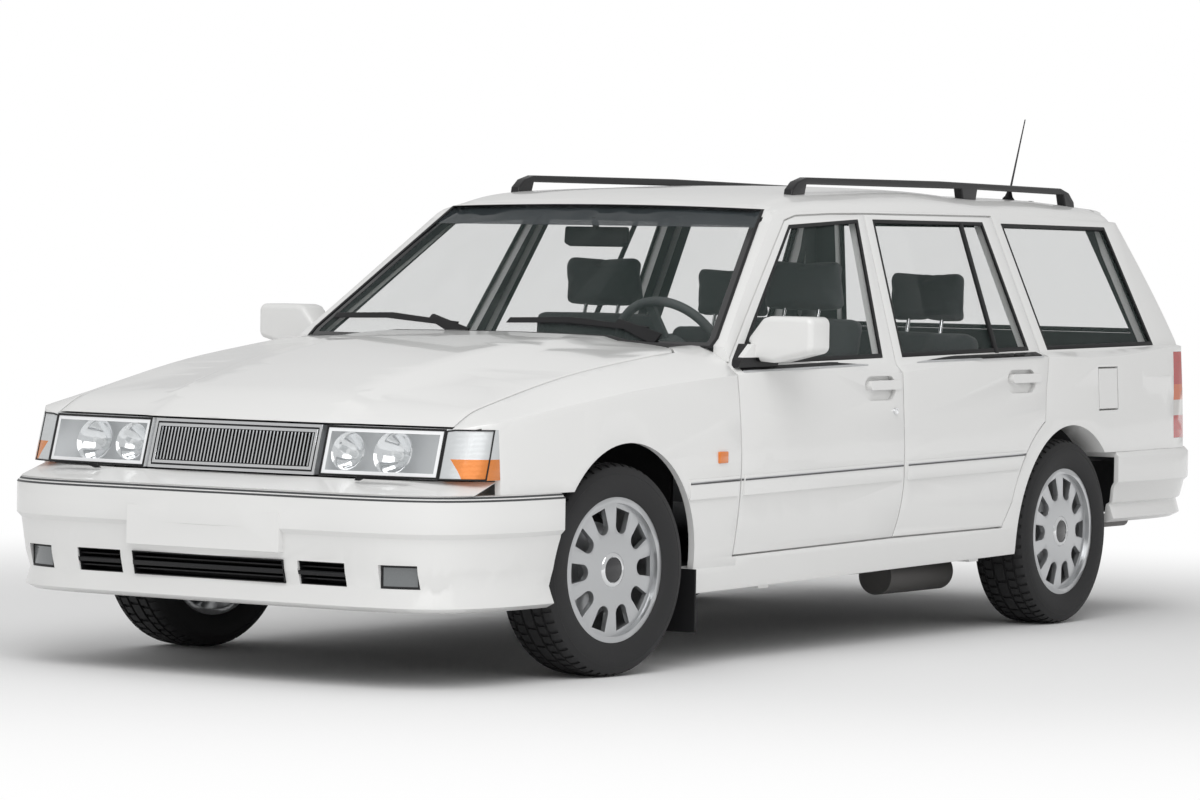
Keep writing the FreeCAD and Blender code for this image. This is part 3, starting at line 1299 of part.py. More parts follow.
def side_corners(shares, start, length, foot, height):
    """Corners of a side outline in the sheet's words, from shares of a length and a height."""
    return [(start + length * along, foot + height * up) for along, up in shares]


def cushion(name, corners, width, inner_corner=(0, 0)):
    """One upholstered form, its edges rounded."""
    body = doc.addObject("PartDesign::Body", name + "_body")
    softened(body, name + "_soft", padded(body, name, corners, width), ref.seat_radius, inner_corner)
    return body


def headrest(name, shares, start, length, side):
    """A headrest at a side, with its two posts."""
    rest = cushion(name, side_corners(shares, start, length, floor_top, ref.back_height), ref.headrest_width)
    rest.setExpression("Placement.Base.x", side.text)
    foot = (start + length * shares[0][0], floor_top + ref.back_height * (shares[0][1] - POST_DEPTH_SHARE))
    posts = []
    for hand in (-1, 1):
        place = (side + ref.headrest_width / 4 * hand, foot[0], foot[1])
        posts.append(rod("%s_post_%s" % (name, "left" if hand > 0 else "right"), ref.post_radius,
                         ref.back_height * POST_LENGTH_SHARE, place, (Vector(-1, 0, 0), car.back_lean)))
    return [rest] + posts


def front_seat(name, hand):
    """A front seat on its runner."""
    start = ref_front_axle + ref.front_seat_start
    side = ref.seat_centre * hand
    corners = side_corners(SEAT_SHARES, start, ref.seat_length, floor_top, ref.back_height)
    body = cushion(name + "_form", corners, ref.seat_width)
    body.setExpression("Placement.Base.x", side.text)
    runner = box(name + "_runner", (side - ref.seat_width / 3, start + ref.seat_length / 10, floor_top),
                 (ref.seat_width * 2 / 3, ref.seat_length * RUNNER_SHARE, ref.seat_base_height * 2))
    rest = headrest(name + "_rest", HEADREST_SHARES, start, ref.seat_length, side)
    return piece(fuse(name + "_whole", [body, runner] + rest), name)


def rear_seat():
    """The rear bench on the step of the floor."""
    length = ref.bench_length
    start = ref_front_axle + ref.tank_front + ref.tank_length - ref.seal_gap - length * BENCH_STEP_SHARE
    deck = ref.load_floor_height + ref.sheet_thickness + ref.seal_gap
    step = start + length * BENCH_STEP_SHARE
    corners = side_corners(BENCH_SHARES, start, length, floor_top, ref.back_height)
    corners += [(start + length * BENCH_BACK_SHARE, deck), (step, deck), (step, corners[0][1])]
    body = cushion("bench_form", corners, ref.rear_seat_half * 2, (step.value, deck.value))
    plinth = box("bench_plinth", (-ref.rear_seat_half * PLINTH_SHARE, start + length / 8, floor_top),
                 (ref.rear_seat_half * 2 * PLINTH_SHARE, length / 3, ref.seat_base_height * 2))
    whole = [body, plinth]
    for name, hand in (("bench_rest_left", 1), ("bench_rest_right", -1)):
        whole += headrest(name, BENCH_REST_SHARES, start, length, ref.seat_centre * hand)
    return piece(fuse("bench_whole", whole), "rear_seat")


def dashboard():
    """The dashboard with the instrument hood, centre console and steering column."""
    body = doc.addObject("PartDesign::Body", "dash_body")
    start = ref_front_axle + ref.bulkhead_back + ref.sheet_thickness
    corners = side_corners(DASH_SHARES, start, ref.dash_length, ref.dash_foot, ref.dash_top - ref.dash_foot)
    padded(body, "dash_form", corners, ref.dash_half * 2)
    hood = rod("instrument_hood", ref.column_radius * 2, ref.steering_radius * 2,
               (ref.seat_centre - ref.steering_radius, start + ref.dash_length * INSTRUMENT_HOOD_SHARE,
                ref.dash_top - ref.column_radius), ALONG_X)
    console = box("console", (-ref.console_half, start + ref.dash_length / 2, floor_top),
                  (ref.console_half * 2, ref.console_length, ref.dash_foot - ref.floor_height))
    column = doc.addObject("Part::Cylinder", "column")
    bind(column, {"Radius": "sizes.column_radius", "Height": "sizes.column_length"})
    column.setExpression("Placement", steering_stand(-ref.steering_hub / 3 - ref.seal_gap, 180))
    return piece(fuse("dash_whole", [body, hood, console, column]), "dashboard")


def steering_stand(lift, flip):
    """The placement of what sits on the steering axis, a lift above the wheel's centre."""
    centre = vector_text(ref.seat_centre, ref_front_axle + ref.steering_back, ref.steering_height)
    lean = "create(<<rotation>>; create(<<vector>>; 1; 0; 0); sizes.steering_lean - 90 + %d)" % flip
    along = "create(<<placement>>; create(<<vector>>; 0; 0; %s); create(<<rotation>>; create(<<vector>>; 0; 0; 1); 0))"
    return "create(<<placement>>; %s; %s) * %s" % (centre, lean, along % (lift * (-1 if flip else 1)).text)


def steering_wheel():
    """A four-spoke steering wheel, turned as it is parked."""
    ring = bind(doc.addObject("Part::Torus", "wheel_ring"),
                {"Radius1": "sizes.steering_radius", "Radius2": "sizes.steering_rim_radius"})
    hub = rod("wheel_hub", ref.steering_hub, ref.steering_hub * 2 / 3, (zero, zero, -ref.steering_hub / 3))
    parts = [ring, hub]
    reach = ref.steering_radius - ref.steering_rim_radius / 2
    for number, angle in enumerate(WHEEL_SPOKE_TURNS):
        spoke = box("wheel_spoke_%d" % number, (zero, zero, zero),
                    (reach, ref.steering_rim_radius * 2, ref.steering_rim_radius))
        spoke.setExpression("Placement", "create(<<placement>>; create(<<vector>>; 0; 0; 0); create(<<rotation>>; "
                            "create(<<vector>>; 0; 0; 1); %d)) * create(<<placement>>; %s; create(<<rotation>>; "
                            "create(<<vector>>; 0; 0; 1); 0))"
                            % (angle, vector_text(zero, -ref.steering_rim_radius, -ref.steering_rim_radius / 2)))
        parts.append(spoke)
    whole = fuse("wheel_whole", parts)
    turn = "create(<<placement>>; create(<<vector>>; 0; 0; 0); create(<<rotation>>; create(<<vector>>; 0; 0; 1); %s))"
    whole.setExpression("Placement", steering_stand(zero, 0) + " * " + turn % (-ref.steer_rest * ref.steer_ratio).text)
    return piece(whole, "steering_wheel")


def front_suspension():
    """Subframe, lower arms, struts and springs of the steered wheels."""
    low_pin = ref.front_track / 2 - ref.kingpin_inset + ref.kingpin_down * math.tan(math.radians(car.kingpin_lean))
    frame = box("subframe", (-ref.apron_inner - ref.kingpin_radius, ref_front_axle - ref.subframe_half,
                             ref.subframe_height),
                ((ref.apron_inner + ref.kingpin_radius) * 2, ref.subframe_half * 2, ref.subframe_top - ref.subframe_height))
    pin_dip = ref.kingpin_radius * math.sin(math.radians(car.kingpin_lean))
    top = ref.wheel_height - ref.kingpin_down - pin_dip - ref.seal_gap
    parts = [frame]
    for name, hand in (("left", 1), ("right", -1)):
        start = ref.apron_inner if hand > 0 else -low_pin
        parts.append(box("arm_" + name, (start, ref_front_axle - ref.arm_half_width, top - ref.arm_thickness),
                         (low_pin - ref.apron_inner, ref.arm_half_width * 2, ref.arm_thickness)))
        parts += strut(name, hand)
    whole = fuse("suspension_whole", parts)
    above = box("tower_space", (-ref_half_length, ref_front_axle - ref_half_length, ref.tower_height),
                (ref_half_length * 2, ref_half_length * 2, ref.tower_height))
    cut = doc.addObject("Part::Cut", "suspension_cut")
    cut.Base = whole
    cut.Tool = above
    return piece(cut, "front_suspension")


def strut(name, hand):
    """A strut on the steering axis with the spring round its top."""
    slope = math.tan(math.radians(car.kingpin_lean))
    pin = ref.front_track / 2 - ref.kingpin_inset
    parts = []
    for label, radius, lift in (("strut", ref.strut_radius, ref.kingpin_up + ref.seal_gap),
                                ("spring", ref.spring_radius, ref.spring_lift)):
        rise = lift * math.cos(math.radians(car.kingpin_lean))
        foot = ((pin - rise * slope) * hand, ref_front_axle, ref.wheel_height + rise)
        parts.append(rod("%s_%s" % (label, name), radius, ref.tower_height, foot,
                         (Vector(0, -hand, 0), car.kingpin_lean)))
    return parts


def rear_axle_piece():
    """A tubular rear axle with spindles, trailing arms, and springs under the load floor."""
    inner = ref.rear_track / 2 - ref.hub_inner - ref.wheel_clearance
    beam = rod("axle_beam", ref.axle_tube_radius, inner * 2, (-inner, ref_rear_axle, ref.wheel_height), ALONG_X)
    reach = ref.rear_track / 2 + ref.spindle_length - ref.seal_gap
    spindle = rod("axle_spindle", ref.spindle_radius, reach * 2, (-reach, ref_rear_axle, ref.wheel_height), ALONG_X)
    step_back = ref_front_axle + ref.tank_front + ref.tank_length + ref.sheet_thickness
    parts = [beam, spindle]
    for name, hand in (("left", 1), ("right", -1)):
        side = ref.apron_inner * hand
        parts.append(box("trailing_" + name, (side - ref.arm_half_width, step_back, ref.wheel_height - ref.arm_half_width),
                         (ref.arm_half_width * 2, ref_rear_axle - step_back, ref.arm_half_width * 2)))
        parts.append(rod("rear_spring_" + name, ref.spring_radius, ref.load_floor_height - ref.wheel_height,
                         (side, ref_rear_axle, ref.wheel_height)))
    return piece(fuse("rear_axle_whole", parts), "rear_axle")


def mud_flaps():
    """Rubber flaps behind the front wheels, each on the end of its sill."""
    back = ref_front_axle + ref.arch_radius - ref.mud_flap_gap
    flaps = []
    for name, hand in (("left", 1), ("right", -1)):
        start = ref.skin_half_width - ref.mud_flap_width - ref.seal_gap if hand > 0 else -ref.skin_half_width
        flaps.append(box("mud_flap_" + name, (start, back - ref.mud_flap_thickness, ref.mud_flap_foot),
                         (ref.mud_flap_width, ref.mud_flap_thickness, ref.mud_flap_tall)))
    return piece(fuse("mud_flap_pair", flaps), "mud_flaps")


RAIL_SHARES = [(-0.018, 0.970), (-0.014, 0.992), (0.004, 1.0095), (0.035, 1.0195), (0.50, 1.0225), (0.965, 1.0165),
               (0.996, 1.0065), (1.014, 0.988), (1.018, 0.960), (0.985, 0.960), (0.974, 1.0015), (0.640, 1.0065),
               (0.632, 0.970), (0.588, 0.970), (0.580, 1.0065), (0.034, 1.0040), (0.024, 0.970)]


def roof_rails():
    """A bar along each side of the roof on three feet."""
    corners = [(behind(car.rail_front_back) + along * car.rail_length, up * car.roof_height) for along, up in RAIL_SHARES]
    bar = outline(corners, "x", car.rail_half - car.rail_width / 2, car.rail_half + car.rail_width / 2)
    high = [edge for edge in bar.Edges if abs(edge.tangentAt(edge.FirstParameter).x) < car.seal_gap
            and edge.BoundBox.ZMax > car.roof_height * RAIL_SHARES[7][1]]
    return pair(bar.makeFillet(car.rail_thickness / 4, high).cut(glasshouse(0)))


# A wiper seen from the front: its arm from the pivot and its blade, as shares of the blade's length
WIPER_ARM_SHARES = [(0.03, -0.075), (0.03, -0.015), (-0.30, 0.060), (-0.30, 0.030)]
WIPER_BLADE_SHARES = [(-0.08, -0.005), (-0.08, 0.020), (-0.60, 0.062), (-1.00, 0.052), (-1.00, 0.022), (-0.60, 0.030)]


def wipers():
    """Two wiper blades with their arms, lying along the foot of the windscreen."""
    layer = screen_block(-car.seal_gap - car.wiper_thickness).cut(screen_block(-car.seal_gap))
    found = []
    for side in (car.wiper_left, car.wiper_right):
        outlines = []
        for shares in (WIPER_ARM_SHARES, WIPER_BLADE_SHARES):
            corners = [(side + along * car.wiper_length, car.wiper_pivot + up * car.wiper_length) for along, up in shares]
            outlines.append(outline(corners, "y", front_axle, rear_axle))
        found += layer.common(outlines[0].fuse(outlines[1])).cut(lower_body(-car.seal_gap)).Solids
    return Part.makeCompound(found)


# A door mirror seen from the front (shares of its width and height) and its foot seen from the side
MIRROR_SHARES = [(0.08, 0.03), (0, 0.50), (0.23, 0.95), (0.34, 1), (1, 1), (1, 0.24), (0.40, 0)]
MIRROR_FOOT_SHARES = [(0.2165, 0.648), (0.2165, 0.672), (0.245, 0.700), (0.300, 0.693), (0.310, 0.662),
                      (0.305, 0.650)]


def mirror_housing():
    """A door mirror's housing, rounded to the front and flat where its glass sits."""
    corners = [(car.mirror_inner + a * car.mirror_width, car.mirror_foot + b * car.mirror_tall)
               for a, b in MIRROR_SHARES]
    front = behind(car.mirror_back)
    form = outline(corners, "y", front, front + car.mirror_deep)
    along = [edge for edge in form.Edges if edge.BoundBox.YLength > car.mirror_deep / 2]
    form = form.makeFillet(car.mirror_corner, along)
    loop = [edge for edge in form.Edges if edge.BoundBox.YMax < front + car.seal_gap]
    return form.makeFillet(car.mirror_radius, loop)


def mirror():
    """A door mirror: its housing on a foot that stands on the door's shoulder."""
    foot = outline(side_points(MIRROR_FOOT_SHARES), "x", car.gutter_half,
                   car.skin_half_width - car.mirror_stand)
    foot = foot.common(side_prism(FRONT_DOOR_SHARES, -car.door_box_gap))
    return foot.fuse(mirror_housing()).cut([glasshouse(-car.seal_gap), lower_body(-car.seal_gap)])


floor_top = ref.floor_height + ref.sheet_thickness
engine_block()
fuel_tank()
keep("exhaust", tidy(exhaust()))
antenna()
front_seat("seat_front_left", 1)
front_seat("seat_front_right", -1)
rear_seat()
dashboard()
steering_wheel()
front_suspension()
rear_axle_piece()
mud_flaps()
mirror_solid = tidy(mirror())
keep("mirror_left", mirror_solid)
keep("mirror_right", mirrored(mirror_solid))
keep("roof_rails", roof_rails())
keep("wipers", wipers())
for corner, side, front in (("front_left", 1, True), ("front_right", -1, True), ("rear_left", 1, False),
                            ("rear_right", -1, False)):
    tyre("tyre_" + corner, wheel_place(side, front))
    rim("rim_" + corner, wheel_place(side, front))
knuckle("knuckle_left", 1)
knuckle("knuckle_right", -1)
doc.recompute()

faults = [made.Label for made in doc.Objects if {"Invalid", "Error"} & set(made.State)]
faults += [made.Label for made in pieces if made.Shape.isNull() or not made.Shape.isValid()]
if faults:
    raise RuntimeError("not sound: " + ", ".join(faults))
os.makedirs("parts", exist_ok=True)
for made in pieces:
    made.Shape.exportStep("parts/%s.step" % made.Label)
print(len(pieces), "pieces")
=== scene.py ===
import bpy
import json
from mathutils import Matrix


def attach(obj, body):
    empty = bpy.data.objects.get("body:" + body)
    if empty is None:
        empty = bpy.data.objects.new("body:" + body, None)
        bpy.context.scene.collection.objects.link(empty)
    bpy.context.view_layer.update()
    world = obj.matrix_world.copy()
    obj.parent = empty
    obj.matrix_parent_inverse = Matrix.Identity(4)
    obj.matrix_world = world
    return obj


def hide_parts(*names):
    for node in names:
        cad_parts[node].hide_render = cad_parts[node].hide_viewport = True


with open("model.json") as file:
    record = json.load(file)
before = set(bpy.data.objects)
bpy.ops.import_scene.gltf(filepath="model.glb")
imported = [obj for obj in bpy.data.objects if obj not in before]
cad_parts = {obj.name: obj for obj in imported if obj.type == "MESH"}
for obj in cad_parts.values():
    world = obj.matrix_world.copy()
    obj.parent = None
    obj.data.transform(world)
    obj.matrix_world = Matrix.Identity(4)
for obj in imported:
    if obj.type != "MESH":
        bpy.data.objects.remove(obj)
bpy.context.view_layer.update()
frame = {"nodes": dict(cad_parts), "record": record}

import json
import math

import bpy
from mathutils import Matrix, Vector

# The painted steel of the body: doors, hood, fenders, roof, body sides, tailgate and fuel flap.
# Pressed sheet with rolled edges, sprayed white with a clear coat, hung with a finger-thin gap
# between neighbours. The bumpers and mirror housings are moulded plastic in the same white.


def finish(name, color, rough, metal=0.0, coat=0.0, alpha=1.0, grain=0.0, scale=300.0, shine=0.5):
    """A finish with its colour and gloss and, where it has one, a fine grain."""
    made = bpy.data.materials.new(name)
    made.use_nodes = True
    nodes = made.node_tree.nodes
    links = made.node_tree.links
    shader = nodes["Principled BSDF"]
    shader.inputs["Base Color"].default_value = (*color, 1)
    shader.inputs["Roughness"].default_value = rough
    shader.inputs["Metallic"].default_value = metal
    shader.inputs["Coat Weight"].default_value = coat
    shader.inputs["Coat Roughness"].default_value = 0.04
    shader.inputs["Alpha"].default_value = alpha
    shader.inputs["Specular IOR Level"].default_value = shine
    if grain:
        place = nodes.new("ShaderNodeTexCoord")
        noise = nodes.new("ShaderNodeTexNoise")
        noise.inputs["Scale"].default_value = scale
        bump = nodes.new("ShaderNodeBump")
        bump.inputs["Strength"].default_value = grain
        bump.inputs["Distance"].default_value = 0.001
        links.new(place.outputs["Object"], noise.inputs["Vector"])
        links.new(noise.outputs["Fac"], bump.inputs["Height"])
        links.new(bump.outputs["Normal"], shader.inputs["Normal"])
    return made


def only(made):
    """Selects one piece alone and makes it the active one."""
    bpy.ops.object.select_all(action="DESELECT")
    made.select_set(True)
    bpy.context.view_layer.objects.active = made
    return made


def copy_of(node, name):
    """A merged copy of a part of the frame, to be worked on as a piece of its own."""
    made = bpy.data.objects.new(name, frame["nodes"][node].data.copy())
    bpy.context.collection.objects.link(made)
    made.data.name = name
    made.data.materials.clear()
    only(made)
    bpy.ops.object.mode_set(mode="EDIT")
    bpy.ops.mesh.select_all(action="SELECT")
    bpy.ops.mesh.remove_doubles(threshold=0.00002)
    bpy.ops.mesh.dissolve_limited(angle_limit=math.radians(0.4))
    bpy.ops.object.mode_set(mode="OBJECT")
    return made


def rolled(made, edge, sharp=34, steps=2):
    """Rolls over a piece's sharp edges."""
    only(made)
    bevel = made.modifiers.new("rolled_edge", "BEVEL")
    bevel.width = edge
    bevel.segments = steps
    bevel.limit_method = "ANGLE"
    bevel.angle_limit = math.radians(sharp)
    bpy.ops.object.modifier_apply(modifier=bevel.name)
    return made


def given(made, material, slot, body, *nodes, sharp=30):
    """Gives a piece its finish, the body that it rides on and the nodes that it stands for; the slot is not
    used.
    """
    only(made)
    bpy.ops.object.shade_smooth_by_angle(angle=math.radians(sharp))
    made.data.materials.append(material)
    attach(made, body)
    if nodes:
        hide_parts(*nodes)
    return made


def dressed(node, material, slot, edge=0.0012, sharp=26):
    """A smooth copy of a part of the frame in its place, with its edges rolled over."""
    made = copy_of(node, node + "_skin")
    if edge:
        rolled(made, edge, sharp + 8)
    return given(made, material, slot, bodies_of[node], node, sharp=sharp)


behaviour = frame["record"]["behaviour"]
bodies_of = {node: body for body, nodes in behaviour["bodies"].items() for node in nodes}
SIDES = (("left", 1), ("right", -1))
white_paint = finish("white_paint", (0.80, 0.80, 0.79), 0.30, coat=0.6)
white_plastic = finish("white_plastic", (0.79, 0.79, 0.78), 0.36, coat=0.4)
PAINTED = ("side_frame_left", "side_frame_right", "roof_panel", "front_fenders", "hood", "tailgate",
           "fuel_flap", "door_front_left", "door_front_right", "door_rear_left", "door_rear_right")
for node in PAINTED:
    dressed(node, white_paint, "paint")
for node in ("front_bumper", "rear_bumper", "mirror_left", "mirror_right"):
    dressed(node, white_plastic, "painted_plastic", edge=0.0025)

# The window panes: tinted safety glass, bonded at the front and rear and let into the doors.
# Each has a black rubber seal pressed over its edge; the windscreen has a printed black border
# and a shaded band along its top.
tinted_glass = finish("tinted_glass", (0.10, 0.14, 0.13), 0.02, alpha=0.11)
black_rubber = finish("black_rubber", (0.012, 0.012, 0.013), 0.55, grain=0.15, scale=900, shine=0.3)
black_print = finish("black_print", (0.012, 0.012, 0.013), 0.10, coat=0.5)
shade_band = finish("shade_band", (0.05, 0.06, 0.065), 0.06, alpha=0.72)


def keep_faces(made, wanted):
    """Deletes the faces of a piece that aren't wanted, by their middle and direction."""
    only(made)
    bpy.ops.object.mode_set(mode="EDIT")
    bpy.ops.mesh.select_mode(type="FACE")
    bpy.ops.mesh.select_all(action="DESELECT")
    bpy.ops.object.mode_set(mode="OBJECT")
    for face in made.data.polygons:
        face.select = not wanted(face.center, face.normal)
    bpy.ops.object.mode_set(mode="EDIT")
    bpy.ops.mesh.delete(type="FACE")
    bpy.ops.object.mode_set(mode="OBJECT")
    return made


def thickened(made, lift):
    """Gives a skin its thickness outwards."""
    only(made)
    solid = made.modifiers.new("thickness", "SOLIDIFY")
    solid.thickness = lift
    solid.offset = 1
    bpy.ops.object.modifier_apply(modifier=solid.name)
    return made


def banded(made, facing, width, lift):
    """Leaves a band along the edges of a piece's outer face, as wide and as proud as given."""
    keep_faces(made, lambda middle, normal: normal.dot(Vector(facing)) > 0.55)
    bpy.ops.object.mode_set(mode="EDIT")
    bpy.ops.mesh.select_all(action="SELECT")
    bpy.ops.mesh.inset(thickness=width, use_boundary=True, use_even_offset=True)
    bpy.ops.mesh.delete(type="FACE")
    bpy.ops.object.mode_set(mode="OBJECT")
    return thickened(made, lift)


def edge_band(node, name, facing, width, lift):
    """A band along the edge of a pane's outer face."""
    return banded(copy_of(node, name), facing, width, lift)


def sliced(made, *planes):
    """Cuts a piece by planes, each a point and the direction of what is kept."""
    only(made)
    bpy.ops.object.mode_set(mode="EDIT")
    for point, way in planes:
        bpy.ops.mesh.select_all(action="SELECT")
        bpy.ops.mesh.bisect(plane_co=point, plane_no=way, clear_inner=True, use_fill=False)
    bpy.ops.object.mode_set(mode="OBJECT")
    return made


SCREEN_FACING = (0, -0.75, 0.66)
BAND_FOOT_Z = 1.326
SEAL_WIDTH = 0.013
TAILGATE_SEAL_WIDTH = 0.016
SEAL_LIFT = 0.0076
SEAL_ROLL = 0.0015
for node in ("windscreen", "quarter_windows", "tailgate_glass", "glass_front_left", "glass_front_right",
             "glass_rear_left", "glass_rear_right"):
    dressed(node, tinted_glass, "glass", edge=0)
for side, out in SIDES:
    for place in ("front", "rear"):
        pane = "glass_%s_%s" % (place, side)
        seal = edge_band(pane, "seal_%s_%s" % (place, side), (out, 0, 0), SEAL_WIDTH, SEAL_LIFT)
        given(rolled(seal, SEAL_ROLL), black_rubber, "rubber", "door_%s_%s" % (place, side))
    seal = edge_band("quarter_windows", "seal_quarter_" + side, (out, 0, 0), SEAL_WIDTH, SEAL_LIFT)
    given(rolled(seal, SEAL_ROLL), black_rubber, "rubber", "body")
seal = edge_band("tailgate_glass", "seal_tailgate", (0, 1, 0), TAILGATE_SEAL_WIDTH, SEAL_LIFT)
given(rolled(seal, SEAL_ROLL), black_rubber, "rubber", "tailgate")
border = edge_band("windscreen", "screen_border", SCREEN_FACING, 0.030, 0.0004)
given(border, black_print, "black_plastic", "body")
lip = edge_band("windscreen", "screen_seal", SCREEN_FACING, 0.010, 0.0035)
given(rolled(lip, 0.0010), black_rubber, "rubber", "body")
band = copy_of("windscreen", "screen_band")
keep_faces(band, lambda middle, normal: normal.dot(Vector(SCREEN_FACING)) > 0.6)
sliced(band, ((0, 0, BAND_FOOT_Z), (0, 0, 1)))
given(thickened(band, 0.0002), shade_band, "glass", "body")

# The four wheels: cast alloy rims with ten openings, a black cap in a chrome ring at the hub, and
# road tyres with a smooth side, a ring at the shoulder, cross lugs and round grooves. Each tyre is
# moulded rubber pressed on its rim's seats; the rim is bolted to the hub under the cap.
bright_alloy = finish("bright_alloy", (0.52, 0.53, 0.54), 0.28, metal=0.75, coat=0.3)
tyre_rubber = finish("tyre_rubber", (0.016, 0.016, 0.017), 0.72, grain=0.25, scale=1200)
black_cap = finish("black_cap", (0.012, 0.012, 0.014), 0.25, coat=0.5)
chrome = finish("chrome", (0.78, 0.79, 0.80), 0.10, metal=1.0)


def drawn(name, points, closed=True):
    """A line drawn from point to point, closed to a face where it goes all round."""
    bpy.ops.object.select_all(action="DESELECT")
    bpy.ops.mesh.primitive_plane_add(size=0.01, location=(0, 0, 0))
    made = bpy.context.active_object
    made.name = made.data.name = name
    bpy.ops.object.mode_set(mode="EDIT")
    bpy.ops.mesh.select_mode(type="VERT")
    bpy.ops.mesh.select_all(action="SELECT")
    bpy.ops.mesh.merge(type="CENTER")
    bpy.ops.transform.translate(value=points[0])
    here = Vector(points[0])
    for point in points[1:]:
        step = Vector(point) - here
        bpy.ops.mesh.extrude_vertices_move(TRANSFORM_OT_translate={"value": step})
        here = Vector(point)
    if closed:
        bpy.ops.mesh.select_all(action="SELECT")
        bpy.ops.mesh.edge_face_add()
    bpy.ops.object.mode_set(mode="OBJECT")
    return made


def spun(made, steps, axis):
    """Turns a drawn profile all round an axis."""
    only(made)
    bpy.ops.object.mode_set(mode="EDIT")
    bpy.ops.mesh.select_mode(type="VERT")
    bpy.ops.mesh.select_all(action="SELECT")
    bpy.ops.mesh.spin(steps=steps, angle=math.tau, center=(0, 0, 0), axis=axis)
    bpy.ops.mesh.select_all(action="SELECT")
    bpy.ops.mesh.remove_doubles(threshold=0.00005)
    bpy.ops.mesh.normals_make_consistent(inside=False)
    bpy.ops.object.mode_set(mode="OBJECT")
    return made


def facing_out(out):
    """The turn that makes a piece drawn for the left side look outwards on either side."""
    return Matrix.Rotation(0 if out > 0 else math.pi, 4, "Z")


def placed_copy(made, name, matrix):
    """A copy of a piece with its own mesh, set in another place."""
    only(made)
    bpy.ops.object.duplicate()
    other = bpy.context.active_object
    other.name = other.data.name = name
    other.data.transform(matrix)
    if matrix.determinant() < 0:
        bpy.ops.object.mode_set(mode="EDIT")
        bpy.ops.mesh.select_all(action="SELECT")
        bpy.ops.mesh.flip_normals()
        bpy.ops.object.mode_set(mode="OBJECT")
    return other


TYRE_PROFILE = [
    (0.0755, 0.2050), (0.0755, 0.2145), (0.0865, 0.2145), (0.0905, 0.2200), (0.0950, 0.2340),
    (0.0982, 0.2500), (0.0988, 0.2620), (0.0985, 0.2740), (0.0965, 0.2815), (0.0972, 0.2830),
    (0.0965, 0.2845), (0.0925, 0.2950), (0.0885, 0.3035), (0.0800, 0.3090), (0.0690, 0.3120),
    (0.0620, 0.3128), (0.0612, 0.3062), (0.0540, 0.3062), (0.0532, 0.3134), (0.0260, 0.3140),
    (0.0252, 0.3066), (0.0170, 0.3066), (0.0162, 0.3140), (0.0, 0.3140)]
LUG_HEIGHT = 0.0055
TYRE_STEPS = 168
half = [(x, 0, r) for x, r in TYRE_PROFILE]
whole = half + [(-x, 0, r) for x, _, r in reversed(half[:-1])]
tyre = spun(drawn("tyre_form", whole, closed=False), TYRE_STEPS, (1, 0, 0))
bpy.ops.object.mode_set(mode="EDIT")
bpy.ops.mesh.select_mode(type="FACE")
bpy.ops.mesh.select_all(action="DESELECT")
bpy.ops.object.mode_set(mode="OBJECT")
pitch = math.tau / TYRE_STEPS
for face in tyre.data.polygons:
    middle = face.center
    high = math.hypot(middle.y, middle.z)
    count = round(math.atan2(middle.z, middle.y) / pitch - 0.5)
    shoulder = abs(middle.x) > 0.0612 and high > 0.3000 and count % 3 == 0
    block = 0.026 < abs(middle.x) < 0.0530 and high > 0.3120 and count % 3 == 1
    rib = abs(middle.x) < 0.0160 and high > 0.3130 and count % 6 == 2
    face.select = shoulder or block or rib
bpy.ops.object.mode_set(mode="EDIT")
bpy.ops.mesh.extrude_region_shrink_fatten(TRANSFORM_OT_shrink_fatten={"value": -LUG_HEIGHT})
bpy.ops.object.mode_set(mode="OBJECT")

CAP_PROFILE = [(0.0790, 0, 0), (0.0825, 0, 0), (0.0822, 0, 0.014), (0.0812, 0, 0.027), (0.0800, 0, 0.0365),
               (0.0770, 0, 0.0372)]
RING_PROFILE = [(0.0775, 0, 0.0372), (0.0812, 0, 0.0376), (0.0832, 0, 0.0405), (0.0822, 0, 0.0470),
                (0.0790, 0, 0.0512), (0.0775, 0, 0.0520)]
cap = spun(drawn("cap_form", CAP_PROFILE, closed=False), 48, (1, 0, 0))
ring = spun(drawn("ring_form", RING_PROFILE, closed=False), 48, (1, 0, 0))
hub_joints = {joint["child"]: joint for joint in behaviour["joints"] if "spin" in joint["name"]}
for corner in ("front_left", "front_right", "rear_left", "rear_right"):
    dressed("rim_" + corner, bright_alloy, "alloy", edge=0.0028, sharp=32)
    joint = hub_joints["wheel_" + corner]
    out = 1 if corner.endswith("left") else -1
    outward = Vector(joint["axis"]) * out
    facing = facing_out(out)
    turn = (facing @ Vector((1, 0, 0))).rotation_difference(outward).to_matrix().to_4x4() @ facing
    place = Matrix.Translation(joint["pos_m"]) @ turn
    given(placed_copy(tyre, "tyre_tread_" + corner, place), tyre_rubber, "tyre", "wheel_" + corner,
          "tyre_" + corner, sharp=35)
    given(placed_copy(cap, "hub_cap_" + corner, place), black_cap, "black_plastic", "wheel_" + corner)
    given(placed_copy(ring, "hub_ring_" + corner, place), chrome, "chrome", "wheel_" + corner)
for form in (tyre, cap, ring):
    bpy.data.objects.remove(form)

